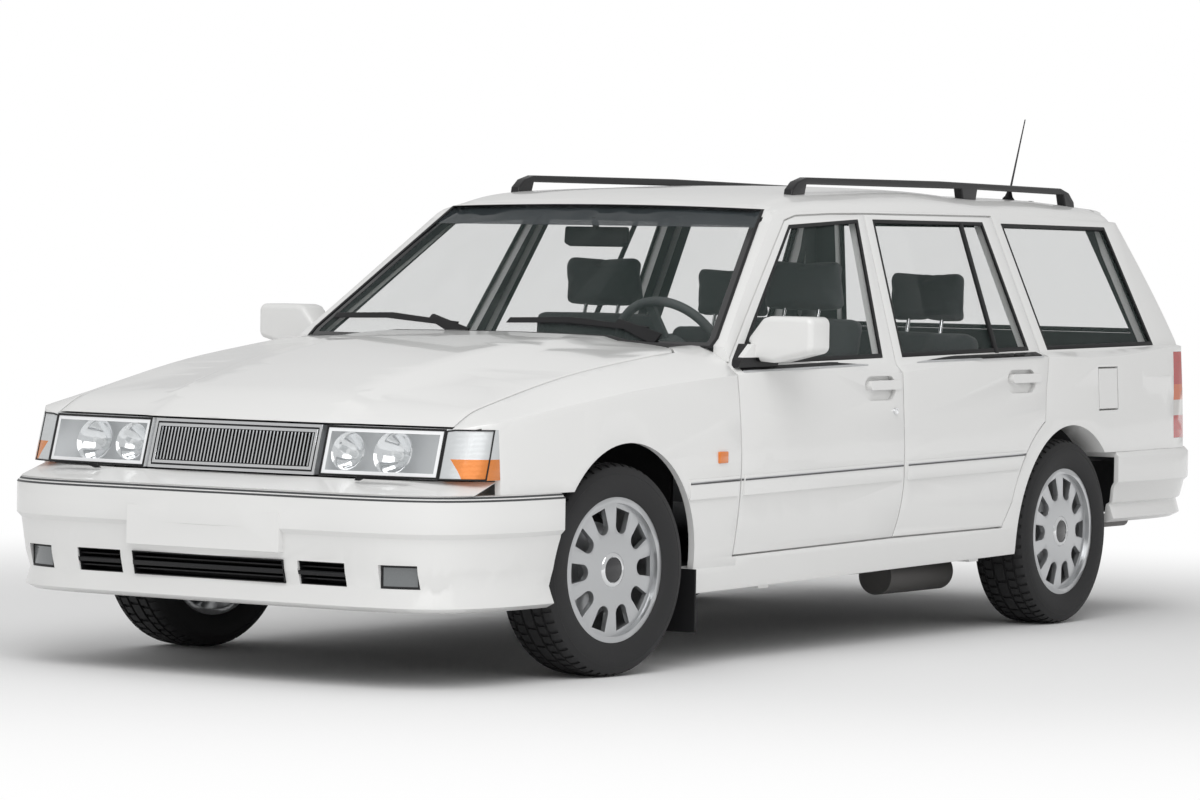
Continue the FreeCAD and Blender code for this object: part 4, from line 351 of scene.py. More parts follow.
# The headlamps: a black gasket, a bright frame, two round mirrored reflectors with their bulbs, and
# a clear glass lens over them. Each is a sealed plastic unit, screwed to the lamp panel.
lens_glass = finish("lens_glass", (0.80, 0.84, 0.86), 0.04, alpha=0.28, coat=0.6)
lamp_shell = finish("lamp_shell", (0.90, 0.91, 0.92), 0.30)
reflector = finish("reflector", (0.86, 0.87, 0.88), 0.07, metal=1.0)
bulb_glass = finish("bulb_glass", (0.75, 0.76, 0.76), 0.05, coat=0.5)
NOSE_LEAN = math.radians(16.7)
NOSE_FACE = Vector((0, -math.cos(NOSE_LEAN), math.sin(NOSE_LEAN)))
LAMP_MIDDLE_Z = 0.667
LAMP_FACING = (0, -0.9, 0.2)
MIRRORED = Matrix.Scale(-1, 4, (1, 0, 0))


def bowl(name, radius, deep, place):
    """A round reflector, open towards the road."""
    steps = 8
    points = []
    for count in range(steps + 1):
        share = count / steps
        points.append((radius * share, 0, -deep * (1 - share * share)))
    points += [(radius * 1.04, 0, 0.0015), (radius * 1.07, 0, -0.002)]
    made = spun(drawn(name, points, closed=False), 40, (0, 0, 1))
    other = placed_copy(made, name + "_left", place)
    bpy.data.objects.remove(made)
    return other


def both_sides(made, name, *rest, **more):
    """Gives a left piece and its like on the other side their finish."""
    other = placed_copy(made, name + "_right", MIRRORED)
    return given(made, *rest, **more), given(other, *rest, **more)


def walled(made, thickness):
    """Gives a skin its thickness inwards."""
    only(made)
    wall = made.modifiers.new("wall", "SOLIDIFY")
    wall.thickness = thickness
    wall.offset = -1
    bpy.ops.object.modifier_apply(modifier=wall.name)
    return made


lens = keep_faces(copy_of("headlamps", "headlamp_lens"), lambda middle, normal: normal.y < -0.45)
given(lens, lens_glass, "lamp_glass", "body", "headlamps")
gasket = edge_band("headlamps", "headlamp_gasket", LAMP_FACING, 0.0065, 0.0030)
given(rolled(gasket, 0.001), black_rubber, "rubber", "body")
frame_band = edge_band("headlamps", "headlamp_frame", LAMP_FACING, 0.017, 0.0008)
given(frame_band, lamp_shell, "chrome", "body")
shell = keep_faces(copy_of("headlamps", "headlamp_shell"), lambda middle, normal: normal.y > -0.45)
given(walled(shell, 0.002), lamp_shell, "chrome", "body")
BULB_PROFILE = [(0, 0, 0.020), (0.007, 0, 0.017), (0.009, 0, 0.008), (0.009, 0, -0.018), (0.013, 0, -0.020),
                (0.013, 0, -0.026)]
tilt = Vector((0, 0, 1)).rotation_difference(NOSE_FACE).to_matrix().to_4x4()
for name, radius, x, y in (("main_bowl", 0.054, 0.392, -2.262), ("dip_bowl", 0.062, 0.540, -2.250)):
    middle = Vector((x, y, LAMP_MIDDLE_Z))
    made = bowl(name, radius, 0.045, Matrix.Translation(middle) @ tilt)
    both_sides(made, name, reflector, "chrome", "body")
    bulb = spun(drawn(name + "_bulb", BULB_PROFILE, closed=False), 24, (0, 0, 1))
    place = Matrix.Translation(middle - NOSE_FACE * 0.018) @ tilt
    left_bulb = placed_copy(bulb, name + "_bulb_left", place)
    both_sides(left_bulb, name + "_bulb", bulb_glass, "lamp_glass", "body")
    bpy.data.objects.remove(bulb)

# The turn lamps that wrap round the nose: one moulded lens each, ribbed, clear above and amber in
# its lower outer part, held by a screw behind the headlamp, with a thin black gasket.
AMBER_TOP_Z = 0.655
AMBER_START_Y = -2.235
turn_lens = bpy.data.materials.new("turn_lens")
turn_lens.use_nodes = True
nodes = turn_lens.node_tree.nodes
links = turn_lens.node_tree.links
shader = nodes["Principled BSDF"]
spot = nodes.new("ShaderNodeTexCoord")
split = nodes.new("ShaderNodeSeparateXYZ")
links.new(spot.outputs["Object"], split.inputs["Vector"])
low = nodes.new("ShaderNodeMath")
low.operation = "LESS_THAN"
low.inputs[1].default_value = AMBER_TOP_Z
links.new(split.outputs["Z"], low.inputs[0])
behind = nodes.new("ShaderNodeMath")
behind.operation = "GREATER_THAN"
behind.inputs[1].default_value = AMBER_START_Y
links.new(split.outputs["Y"], behind.inputs[0])
both = nodes.new("ShaderNodeMath")
both.operation = "MULTIPLY"
links.new(low.outputs["Value"], both.inputs[0])
links.new(behind.outputs["Value"], both.inputs[1])
mix = nodes.new("ShaderNodeMix")
mix.data_type = "RGBA"
mix.inputs["A"].default_value = (0.62, 0.64, 0.65, 1)
mix.inputs["B"].default_value = (0.72, 0.22, 0.03, 1)
links.new(both.outputs["Value"], mix.inputs["Factor"])
links.new(mix.outputs["Result"], shader.inputs["Base Color"])
ribs = nodes.new("ShaderNodeTexWave")
ribs.wave_type = "BANDS"
ribs.bands_direction = "Z"
ribs.inputs["Scale"].default_value = 90
links.new(spot.outputs["Object"], ribs.inputs["Vector"])
relief = nodes.new("ShaderNodeBump")
relief.inputs["Strength"].default_value = 0.35
relief.inputs["Distance"].default_value = 0.002
links.new(ribs.outputs["Fac"], relief.inputs["Height"])
links.new(relief.outputs["Normal"], shader.inputs["Normal"])
shader.inputs["Roughness"].default_value = 0.12
shader.inputs["Metallic"].default_value = 0.25
shader.inputs["Coat Weight"].default_value = 0.8
dressed("indicator_lamps", turn_lens, "lamp_glass", edge=0.002)
gasket = edge_band("indicator_lamps", "turn_gasket", (0.3, -0.9, 0.1), 0.004, 0.0015)
given(gasket, black_rubber, "rubber", "body")

# The grille: a chromed plastic surround in two steps with a dark gap between them, and fine upright
# bars in a dark opening. It is clipped to the lamp panel, and leans back with the nose.
dark_plastic = finish("dark_plastic", (0.014, 0.014, 0.015), 0.5, grain=0.2, scale=700, shine=0.3)


def extruded(made, way):
    """Draws a face out to a closed bar."""
    only(made)
    bpy.ops.object.mode_set(mode="EDIT")
    bpy.ops.mesh.select_all(action="SELECT")
    bpy.ops.mesh.extrude_region_move(TRANSFORM_OT_translate={"value": way})
    bpy.ops.mesh.select_all(action="SELECT")
    bpy.ops.mesh.normals_make_consistent(inside=False)
    bpy.ops.object.mode_set(mode="OBJECT")
    return made


OPENING_HALF = 0.279
OPENING_FOOT = 0.618
OPENING_TOP = 0.716
MARGIN = 0.0002
surround = copy_of("grille", "grille_surround")
bpy.ops.object.mode_set(mode="EDIT")
for point, way in (((0, 0, OPENING_FOOT), (0, 0, 1)), ((0, 0, OPENING_TOP), (0, 0, 1)),
                   ((OPENING_HALF, 0, 0), (1, 0, 0)), ((-OPENING_HALF, 0, 0), (1, 0, 0))):
    bpy.ops.mesh.select_all(action="SELECT")
    bpy.ops.mesh.bisect(plane_co=point, plane_no=way)
bpy.ops.object.mode_set(mode="OBJECT")
keep_faces(surround, lambda middle, normal: not (abs(middle.x) < OPENING_HALF - MARGIN
                                                 and OPENING_FOOT + MARGIN < middle.z < OPENING_TOP - MARGIN))
bpy.ops.object.mode_set(mode="EDIT")
bpy.ops.mesh.select_mode(type="VERT")
bpy.ops.mesh.select_non_manifold()
bpy.ops.mesh.fill_holes(sides=0)
bpy.ops.object.mode_set(mode="OBJECT")
cover = placed_copy(surround, "grille_chrome", Matrix.Identity(4))
banded(cover, LAMP_FACING, 0.0088, 0.0025)
given(rolled(cover, 0.0008), chrome, "chrome", "body")
surround.data.materials.append(chrome)
surround.data.materials.append(dark_plastic)
for face in surround.data.polygons:
    face.material_index = 1 if face.normal.y < -0.8 else 0
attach(surround, "body")
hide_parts("grille")
BARS = 45
BAR_SPAN = 0.5464
BAR_SECTION = [(-0.2755, 0.010, -0.049), (-0.2755, 0.0015, -0.049), (-0.2743, 0, -0.049),
               (-0.2721, 0, -0.049), (-0.2709, 0.0015, -0.049), (-0.2709, 0.010, -0.049)]
NOSE_BOW = 0.0060
NOSE_BOW_REACH = 0.3
bar = extruded(drawn("grille_bars", BAR_SECTION), (0, 0, 0.098))
row = bar.modifiers.new("row", "ARRAY")
row.count = BARS
row.use_relative_offset = False
row.use_constant_offset = True
row.constant_offset_displace = (BAR_SPAN / (BARS - 1), 0, 0)
bpy.ops.object.modifier_apply(modifier=row.name)
bar.data.transform(Matrix.Translation((0, -2.2700, LAMP_MIDDLE_Z)) @ Matrix.Rotation(-NOSE_LEAN, 4, "X"))
for point in bar.data.vertices:
    point.co.y += NOSE_BOW * (point.co.x / NOSE_BOW_REACH) ** 2
given(bar, chrome, "chrome", "body")
screen_foot = [(x, -2.232, OPENING_FOOT) for x in (-OPENING_HALF, OPENING_HALF)]
screen_top = [(x, -2.203, OPENING_TOP) for x in (OPENING_HALF, -OPENING_HALF)]
screen_sheet = drawn("grille_screen", screen_foot + screen_top)
given(thickened(screen_sheet, 0.002), dark_plastic, "black_plastic", "body")

# The front bumper's trim: a grey double line moulded along its upper edge, black plastic inserts
# with slats clipped into its three air intakes, and the fog lamps in their black rims.
grey_line = finish("grey_line", (0.055, 0.057, 0.06), 0.4, shine=0.3)
for name, low_z, high_z in (("bumper_line_low", 0.5372, 0.5420), ("bumper_line_high", 0.5462, 0.5510)):
    line = keep_faces(copy_of("front_bumper", name),
                      lambda middle, normal: normal.z > 0.15 and (normal.y < -0.1 or abs(normal.x) > 0.2))
    sliced(line, ((0, 0, low_z), (0, 0, 1)), ((0, 0, high_z), (0, 0, -1)))
    given(thickened(line, 0.0012), grey_line, "black_plastic", "body")
INTAKES = (("middle", -0.272, 0.272, -2.3905), ("left", 0.320, 0.482, -2.3760),
           ("right", -0.482, -0.320, -2.3760))
INTAKE_FOOT = 0.2895
INTAKE_TOP = 0.3575
INTAKE_DEPTH = 0.075
INTAKE_LEAN = 0.22
SLATS = ((0.307, 0.0022, 0.008), (0.3235, 0.0068, 0), (0.341, 0.0022, 0.008))
for name, low_x, high_x, face in INTAKES:
    wide = (high_x - low_x, 0, 0)
    tube = drawn("intake_" + name, [(low_x, face, INTAKE_FOOT), (low_x, face - 0.0150, INTAKE_TOP),
                                    (low_x, face + INTAKE_DEPTH, INTAKE_TOP),
                                    (low_x, face + INTAKE_DEPTH, INTAKE_FOOT)])
    extruded(tube, wide)
    keep_faces(tube, lambda middle, normal: normal.y > -0.7)
    given(walled(tube, 0.004), dark_plastic, "black_plastic", "body")
    for count, (high, tall, inset) in enumerate(SLATS):
        front = face - (high - INTAKE_FOOT) * INTAKE_LEAN + inset
        slat = drawn("slat_%s_%d" % (name, count),
                     [(low_x, front - 0.001, high - tall), (low_x, front - 0.003, high + tall),
                      (low_x, front + 0.062, high + tall), (low_x, front + 0.062, high - tall)])
        extruded(slat, wide)
        given(rolled(slat, 0.0008), dark_plastic, "black_plastic", "body")
fog_glass = finish("fog_glass", (0.16, 0.17, 0.175), 0.16, metal=0.35, coat=0.8, grain=0.5, scale=140)
dressed("fog_lamps", fog_glass, "lamp_glass", edge=0.003)
fog_rim = edge_band("fog_lamps", "fog_rim", (0, -0.9, 0), 0.007, 0.002)
given(rolled(fog_rim, 0.0008), dark_plastic, "black_plastic", "body")
POCKET_X = (0.319, 0.483)
POCKET_Z = (0.300, 0.347)
POCKET_BACK_Y = -2.30
bumper_skin = bpy.data.objects["front_bumper_skin"]
bumper_skin.data.materials.append(dark_plastic)
for face in bumper_skin.data.polygons:
    spots = [bumper_skin.data.vertices[index].co for index in face.vertices]
    if all(POCKET_X[0] < abs(spot.x) < POCKET_X[1] and POCKET_Z[0] < spot.z < POCKET_Z[1]
           and spot.y < POCKET_BACK_Y for spot in spots):
        face.material_index = 1

# The bumper's sloping upper shelf: a thin white plastic moulding in two halves that rises from the
# bumper's edge to the foot of the lamps and the grille, clipped to both. Each row of its table is a
# place across the car with its front and its back.
SHELF = ((0.00, -2.404, -2.2915), (0.20, -2.402, -2.2925), (0.34, -2.404, -2.3010),
         (0.43, -2.399, -2.3000), (0.52, -2.396, -2.2800), (0.58, -2.388, -2.2715),
         (0.64, -2.376, -2.2550), (0.70, -2.354, -2.2250), (0.735, -2.336, -2.2050),
         (0.765, -2.312, -2.1850), (0.79, -2.278, -2.1550), (0.812, -2.235, -2.1300))
SHELF_FOOT_Z = 0.5535
SHELF_TOP_Z = 0.5885
count = len(SHELF)
faces = [(index, index + 1, count + index + 1, count + index) for index in range(count - 1)]
for side, out in SIDES:
    data = bpy.data.meshes.new("shelf_" + side)
    fronts = [(out * x, front, SHELF_FOOT_Z) for x, front, back in SHELF]
    backs = [(out * x, back, SHELF_TOP_Z) for x, front, back in SHELF]
    data.from_pydata(fronts + backs, [], faces)
    shelf = bpy.data.objects.new("shelf_" + side, data)
    bpy.context.collection.objects.link(shelf)
    only(shelf)
    bpy.ops.object.mode_set(mode="EDIT")
    bpy.ops.mesh.select_all(action="SELECT")
    bpy.ops.mesh.normals_make_consistent(inside=False)
    bpy.ops.object.mode_set(mode="OBJECT")
    if shelf.data.polygons[0].normal.z < 0:
        shelf.data.flip_normals()
    given(thickened(shelf, 0.0025), white_plastic, "painted_plastic", "body", sharp=50)

# The mouldings on doors and fenders: a white plastic strip clipped to the panel, with a dark line
# let into its upper edge and a bright one above it. Both rise a little towards the rear.
dark_line = finish("dark_line", (0.06, 0.06, 0.065), 0.35)
light_line = finish("light_line", (0.55, 0.56, 0.57), 0.35, metal=0.3)
RAKE = 0.0145
RAKE_START_Y = -1.505
MOULDING_X = 0.868
LINE_LIFT = 0.0010


def side_line(node, name, low_z, high_z, material, out):
    """A line along the body side, cut from the panel's outer skin between two raked heights."""
    line = copy_of(node, name)
    keep_faces(line, lambda middle, normal: normal.x * out > 0.6 and middle.x * out > MOULDING_X)
    up = Vector((0, -RAKE, 1))
    sliced(line, ((0, RAKE_START_Y, low_z), up), ((0, RAKE_START_Y, high_z), -up))
    given(thickened(line, LINE_LIFT), material, "black_plastic", bodies_of[node])


for side, out in SIDES:
    for node in ("door_front_" + side, "door_rear_" + side, "front_fenders"):
        side_line(node, "moulding_line_%s_%s" % (node, side), 0.5485, 0.5530, dark_line, out)
        side_line(node, "moulding_light_%s_%s" % (node, side), 0.5535, 0.5560, light_line, out)

# The belt strips: black rubber with a bright bead below it, pressed on the door's shoulder along the
# foot of each side window, where they wipe the glass. Each run has its two ends and their heights.
BELT_RUNS = (("front", -0.862, 0.040, 0.8945, 0.9075), ("rear", 0.125, 1.060, 0.9090, 0.9205))
SHOULDER_X = 0.80
for name, low_y, high_y, low_z, high_z in BELT_RUNS:
    for side, out in SIDES:
        node = "door_%s_%s" % (name, side)
        for label, low, tall, lift, material in (("belt", -0.006, 0.010, 0.0030, black_rubber),
                                                 ("bead", -0.0105, 0.0035, 0.0040, light_line)):
            strip = copy_of(node, "%s_%s_%s" % (label, name, side))
            keep_faces(strip, lambda middle, normal: normal.x * out > 0.3 and middle.x * out > SHOULDER_X)
            up = Vector((0, -(high_z - low_z) / (high_y - low_y), 1))
            sliced(strip, ((0, low_y, low_z + low), up), ((0, low_y, low_z + low + tall), -up),
                   ((0, low_y, 0), (0, 1, 0)), ((0, high_y, 0), (0, -1, 0)))
            given(thickened(strip, lift), material, "rubber", node)

# The rear doors' division bars: an upright steel bar in black rubber that parts the fixed light from
# the glass that goes down, screwed into the window frame and leaning inwards with the glass.
GLASS_LEAN = 0.411
GLASS_FOOT_X = 0.8135
GLASS_FOOT_Z = 0.925
BAR_OUTLINE = [(0, 0.790, GLASS_FOOT_Z), (0, 0.846, 1.357), (0, 0.868, 1.357), (0, 0.814, GLASS_FOOT_Z)]
slope = Matrix.Identity(4)
slope[0][2] = -GLASS_LEAN
place = Matrix.Translation((GLASS_FOOT_X + GLASS_LEAN * GLASS_FOOT_Z, 0, 0)) @ slope
bar = extruded(drawn("window_bar_form", BAR_OUTLINE), (0.010, 0, 0))
for side, out in SIDES:
    made = placed_copy(bar, "window_bar_" + side, place if out > 0 else MIRRORED @ place)
    given(rolled(made, 0.002), black_rubber, "rubber", "door_rear_" + side)
bpy.data.objects.remove(bar)

# The front doors' locks, chromed barrels pushed through the skin below the handle, and the amber
# side markers, small plastic lamps snapped into the front fenders.
amber = finish("amber", (0.75, 0.20, 0.02), 0.10, coat=0.8)
LOCK_PROFILE = [(0.004, 0, 0), (0.004, 0, 0.006), (0.0025, 0, 0.0065), (0.005, 0, 0.0075), (0.005, 0, 0.0105),
                (-0.004, 0, 0.0115)]
MARKER_OUTLINE = [(0, -0.026, -0.018), (0, 0.026, -0.018), (0, 0.026, 0.018), (0, -0.026, 0.018)]
lock = spun(drawn("lock_form", LOCK_PROFILE, closed=False), 32, (1, 0, 0))
marker = rolled(extruded(drawn("marker_form", MARKER_OUTLINE), (0.012, 0, 0)), 0.004, steps=3)
for side, out in SIDES:
    place = Matrix.Translation((out * 0.8655, 0.050, 0.749)) @ facing_out(out)
    given(placed_copy(lock, "door_lock_" + side, place), chrome, "chrome", "door_front_" + side)
    place = Matrix.Translation((out * 0.8625, -1.000, 0.631)) @ facing_out(out)
    given(placed_copy(marker, "side_marker_" + side, place), amber, "lamp_glass", "body")
for form in (lock, marker):
    bpy.data.objects.remove(form)

# The door mirrors' black plastic parts and their silvered glasses: the foot screwed to the door's
# corner, the cover of the arm, and the edge round the housing's opening, where the glass is clipped.
mirror_silver = finish("mirror_silver", (0.80, 0.82, 0.84), 0.02, metal=1.0)
FOOT_X = 0.830
ARM_X = 0.862
HOUSING_X = 0.851
FOOT_SKIN = 0.0008
for side, out in SIDES:
    node = "mirror_" + side
    door = "door_front_" + side
    outer = (out, 0, 0)
    inner = (-out, 0, 0)
    foot = copy_of(node, "mirror_foot_" + side)
    sliced(foot, ((out * FOOT_X, 0, 0), inner), ((0, 0, 0.975), (0, 0, -1)))
    given(thickened(foot, FOOT_SKIN), dark_plastic, "black_plastic", door)
    cover = copy_of(node, "mirror_arm_" + side)
    sliced(cover, ((out * FOOT_X, 0, 0), outer), ((out * ARM_X, 0, 0), inner), ((0, 0, 0.9290), (0, 0, -1)))
    given(thickened(cover, FOOT_SKIN), dark_plastic, "black_plastic", door)
    ring_band = edge_band(node, "mirror_ring_" + side, (0, 1, 0), 0.006, 0.0012)
    sliced(ring_band, ((out * HOUSING_X, 0, 0), outer))
    given(ring_band, dark_plastic, "black_plastic", door)
    glass = copy_of(node, "mirror_glass_" + side)
    keep_faces(glass, lambda middle, normal: normal.y > 0.9 and middle.y > -0.70)
    sliced(glass, ((out * HOUSING_X, 0, 0), outer))
    given(thickened(glass, 0.0004), mirror_silver, "chrome", door)

# Roof rails of black-coated tube, the antenna in its rubber foot, the wipers and the washer nozzles
# on the hood, and the rubber mud flaps, which are screwed to the wheel houses.
satin_black = finish("satin_black", (0.014, 0.014, 0.015), 0.40, coat=0.12, shine=0.35)
matt_black = finish("matt_black", (0.010, 0.010, 0.011), 0.60, grain=0.15, scale=800, shine=0.25)
dressed("roof_rails", satin_black, "black_metal", edge=0.002)
dressed("antenna", satin_black, "black_metal", edge=0)
dressed("wipers", matt_black, "black_plastic", edge=0.0022)
dressed("mud_flaps", matt_black, "rubber", edge=0.002)
ANTENNA_FOOT_PROFILE = [(0, 0, -0.006), (0.020, 0, -0.006), (0.021, 0, 0.004), (0.014, 0, 0.012),
                        (0.008, 0, 0.030), (0.0055, 0, 0.046), (0, 0, 0.048)]
base = spun(drawn("antenna_base", ANTENNA_FOOT_PROFILE, closed=False), 28, (0, 0, 1))
seat = Matrix.Translation((0.5, 1.4555, 1.4415)) @ Matrix.Rotation(math.radians(-14), 4, "X")
given(placed_copy(base, "antenna_foot", seat), matt_black, "black_plastic", "body")
bpy.data.objects.remove(base)
NOZZLE_Y = -1.205
NOZZLE_Z = 0.9640
for name, x in (("nozzle_right", -0.33), ("nozzle_left", 0.33)):
    jet = drawn(name, [(x - 0.014, NOZZLE_Y, NOZZLE_Z), (x + 0.014, NOZZLE_Y, NOZZLE_Z),
                       (x + 0.010, NOZZLE_Y + 0.020, NOZZLE_Z), (x - 0.010, NOZZLE_Y + 0.020, NOZZLE_Z)])
    extruded(jet, (0, 0.004, 0.009))
    given(rolled(jet, 0.0025), matt_black, "black_plastic", "hood")

# The headlamp wipers: a thin black steel arm with a rubber blade along each lamp's lower edge, on a
# spindle in the shelf below it.
LAMP_WIPER_OUTLINE = [(0.46, -2.325, 0.588), (0.475, -2.331, 0.5995), (0.505, -2.333, 0.6015),
                      (0.600, -2.320, 0.6035), (0.640, -2.312, 0.6020), (0.640, -2.312, 0.5960),
                      (0.600, -2.320, 0.5975), (0.500, -2.332, 0.5955), (0.478, -2.328, 0.5875)]
arm = rolled(extruded(drawn("lamp_wiper_form", LAMP_WIPER_OUTLINE), (0, 0.010, 0)), 0.0015)
for side, out in SIDES:
    facing = MIRRORED if out < 0 else Matrix.Identity(4)
    given(placed_copy(arm, "lamp_wiper_" + side, facing), matt_black, "black_plastic", "body")
bpy.data.objects.remove(arm)

# The tail lamps: one tall plastic moulding on each side, bolted into the corner of the body, with
# red lenses at top and foot and an amber and a clear one between them.
TAIL_RED = (0.45, 0.015, 0.012, 1)
tail_lens = bpy.data.materials.new("tail_lens")
tail_lens.use_nodes = True
nodes = tail_lens.node_tree.nodes
links = tail_lens.node_tree.links
spot = nodes.new("ShaderNodeTexCoord")
split = nodes.new("ShaderNodeSeparateXYZ")
links.new(spot.outputs["Object"], split.inputs["Vector"])
reach = nodes.new("ShaderNodeMapRange")
reach.inputs["From Min"].default_value = 0.613
reach.inputs["From Max"].default_value = 0.918
links.new(split.outputs["Z"], reach.inputs["Value"])
ramp = nodes.new("ShaderNodeValToRGB")
ramp.color_ramp.interpolation = "CONSTANT"
ramp.color_ramp.elements[0].color = TAIL_RED
ramp.color_ramp.elements[1].position = 0.26
ramp.color_ramp.elements[1].color = (0.62, 0.60, 0.58, 1)
amber_part = ramp.color_ramp.elements.new(0.44)
amber_part.color = (0.62, 0.12, 0.02, 1)
top_part = ramp.color_ramp.elements.new(0.62)
top_part.color = TAIL_RED
links.new(reach.outputs["Result"], ramp.inputs["Fac"])
shader = nodes["Principled BSDF"]
links.new(ramp.outputs["Color"], shader.inputs["Base Color"])
shader.inputs["Roughness"].default_value = 0.10
shader.inputs["Coat Weight"].default_value = 0.8
dressed("tail_lamps", tail_lens, "tail_glass", edge=0.003)

# The cabin's linings: dark moulded trim on the doors, pillars and tailgate, a pale woven
# headlining under the roof, and carpet on the floor, each clipped or glued over the bare steel.
trim_plastic = finish("trim_plastic", (0.075, 0.080, 0.083), 0.6, grain=0.3, scale=700)
headlining = finish("headlining", (0.34, 0.35, 0.35), 0.9, grain=0.4, scale=1500)
carpet = finish("carpet", (0.030, 0.031, 0.033), 0.95, grain=0.8, scale=900)


def lined(name, material, way):
    """Lines the faces of a panel that look one way, into the cabin."""
    made = bpy.data.objects[name + "_skin"]
    made.data.materials.append(material)
    for face in made.data.polygons:
        if face.normal.dot(Vector(way)) > 0.3:
            face.material_index = 1


for side, out in SIDES:
    for node in ("door_front_", "door_rear_", "side_frame_"):
        lined(node + side, trim_plastic, (-out, 0, 0))
lined("tailgate", trim_plastic, (0, -1, 0))
lined("roof_panel", headlining, (0, 0, -1))
dressed("floor_pan", carpet, "underbody", edge=0.003)

# The armrests: a moulded plastic ledge on the lining of each door, screwed through it to the steel.
# Each row of the table is a door and the two ends that its armrest keeps clear of.
ARMREST_SPANS = (("front", -0.800, 0.020), ("rear", 0.150, 0.900))
LINING_X = 0.7790
for name, low_y, high_y in ARMREST_SPANS:
    rest = drawn("armrest_form", [(0, low_y + 0.10, 0.610), (0, high_y - 0.06, 0.622),
                                  (0, high_y - 0.05, 0.655), (0, low_y + 0.12, 0.650)])
    rolled(extruded(rest, (-0.045, 0, 0)), 0.010, steps=3)
    for side, out in SIDES:
        place = Matrix.Translation((LINING_X, 0, 0))
        if out < 0:
            place = MIRRORED @ place
        made = placed_copy(rest, "armrest_%s_%s" % (name, side), place)
        given(made, trim_plastic, "interior_plastic", "door_%s_%s" % (name, side))
    bpy.data.objects.remove(rest)

# The seats: foam cushions in a dark grey woven cover, drawn in by a seam down each side of the middle
# panel, on a plinth with runners; each headrest stands on two chrome posts, and a round knob at the
# front seats' hinge sets the backrest.
weave = bpy.data.materials.new("weave")
weave.use_nodes = True
nodes = weave.node_tree.nodes
links = weave.node_tree.links
shader = nodes["Principled BSDF"]
spot = nodes.new("ShaderNodeTexCoord")
threads = []
for way in ("X", "Z"):
    wave = nodes.new("ShaderNodeTexWave")
    wave.wave_type = "BANDS"
    wave.bands_direction = way
    wave.inputs["Scale"].default_value = 240
    wave.inputs["Distortion"].default_value = 0.6
    links.new(spot.outputs["Object"], wave.inputs["Vector"])
    threads.append(wave)
cross = nodes.new("ShaderNodeMath")
cross.operation = "MAXIMUM"
links.new(threads[0].outputs["Fac"], cross.inputs[0])
links.new(threads[1].outputs["Fac"], cross.inputs[1])
fleck = nodes.new("ShaderNodeTexNoise")
fleck.inputs["Scale"].default_value = 160
links.new(spot.outputs["Object"], fleck.inputs["Vector"])
tint = nodes.new("ShaderNodeMix")
tint.data_type = "RGBA"
tint.inputs["A"].default_value = (0.055, 0.058, 0.062, 1)
tint.inputs["B"].default_value = (0.105, 0.110, 0.115, 1)
links.new(fleck.outputs["Fac"], tint.inputs["Factor"])
links.new(tint.outputs["Result"], shader.inputs["Base Color"])
relief = nodes.new("ShaderNodeBump")
relief.inputs["Strength"].default_value = 0.35
relief.inputs["Distance"].default_value = 0.001
links.new(cross.outputs["Value"], relief.inputs["Height"])
links.new(relief.outputs["Normal"], shader.inputs["Normal"])
shader.inputs["Roughness"].default_value = 0.9
shader.inputs["Sheen Weight"].default_value = 0.3
FOAM_ROUNDING = 0.022
PRESSURE = 4.0
CLOTH_FRAMES = 20


def foam(name, corners, half_width, seams, cap, voxel=0.009):
    """A foam cushion: a rounded form that swells under its cover between its seams."""
    form = drawn(name, [(-half_width, y, z) for y, z in corners])
    extruded(form, (2 * half_width, 0, 0))
    rolled(form, FOAM_ROUNDING, steps=3)
    remesh = form.modifiers.new("even", "REMESH")
    remesh.mode = "VOXEL"
    remesh.voxel_size = voxel
    bpy.ops.object.modifier_apply(modifier=remesh.name)
    start = [point.co.copy() for point in form.data.vertices]
    held = form.vertex_groups.new(name="seam")
    for number, point in enumerate(start):
        near = min((abs(abs(point.x) - seam) for seam in seams), default=1)
        held.add([number], max(0.0, 1 - near / (voxel * 0.9)), "REPLACE")
    cloth = form.modifiers.new("cover", "CLOTH")
    cloth.settings.quality = 4
    cloth.settings.use_pressure = True
    cloth.settings.uniform_pressure_force = PRESSURE
    cloth.settings.tension_stiffness = 20
    cloth.settings.compression_stiffness = 20
    cloth.settings.bending_stiffness = 0.6
    cloth.settings.vertex_group_mass = held.name
    cloth.settings.effector_weights.gravity = 0
    cloth.point_cache.frame_end = CLOTH_FRAMES
    for count in range(1, CLOTH_FRAMES + 1):
        bpy.context.scene.frame_set(count)
    bpy.ops.object.modifier_apply(modifier=cloth.name)
    bpy.context.scene.frame_set(1)
    for point, was in zip(form.data.vertices, start):
        step = point.co - was
        if step.length > cap:
            point.co = was + step * (cap / step.length)
    relax = form.modifiers.new("relax", "SMOOTH")
    relax.factor = 0.5
    relax.iterations = 3
    bpy.ops.object.modifier_apply(modifier=relax.name)
    return form


def covered(form, name, x, slot, body, *nodes):
    """A copy of a cushion at its place across the car, in the woven cover."""
    made = placed_copy(form, name, Matrix.Translation((x, 0, 0)))
    return given(made, weave, slot, body, *nodes, sharp=60)


def posted(post, name, side, x, y, z, lean):
    """The two posts of a headrest, from the backrest up into its foam."""
    for hand in (-0.065, 0.065):
        place = Matrix.Translation((x + hand, y, z)) @ Matrix.Rotation(math.radians(lean), 4, "X")
        made = placed_copy(post, "%s_%s_%s" % (name, side, "in" if hand * x < 0 else "out"), place)
        given(made, chrome, "chrome", "body")


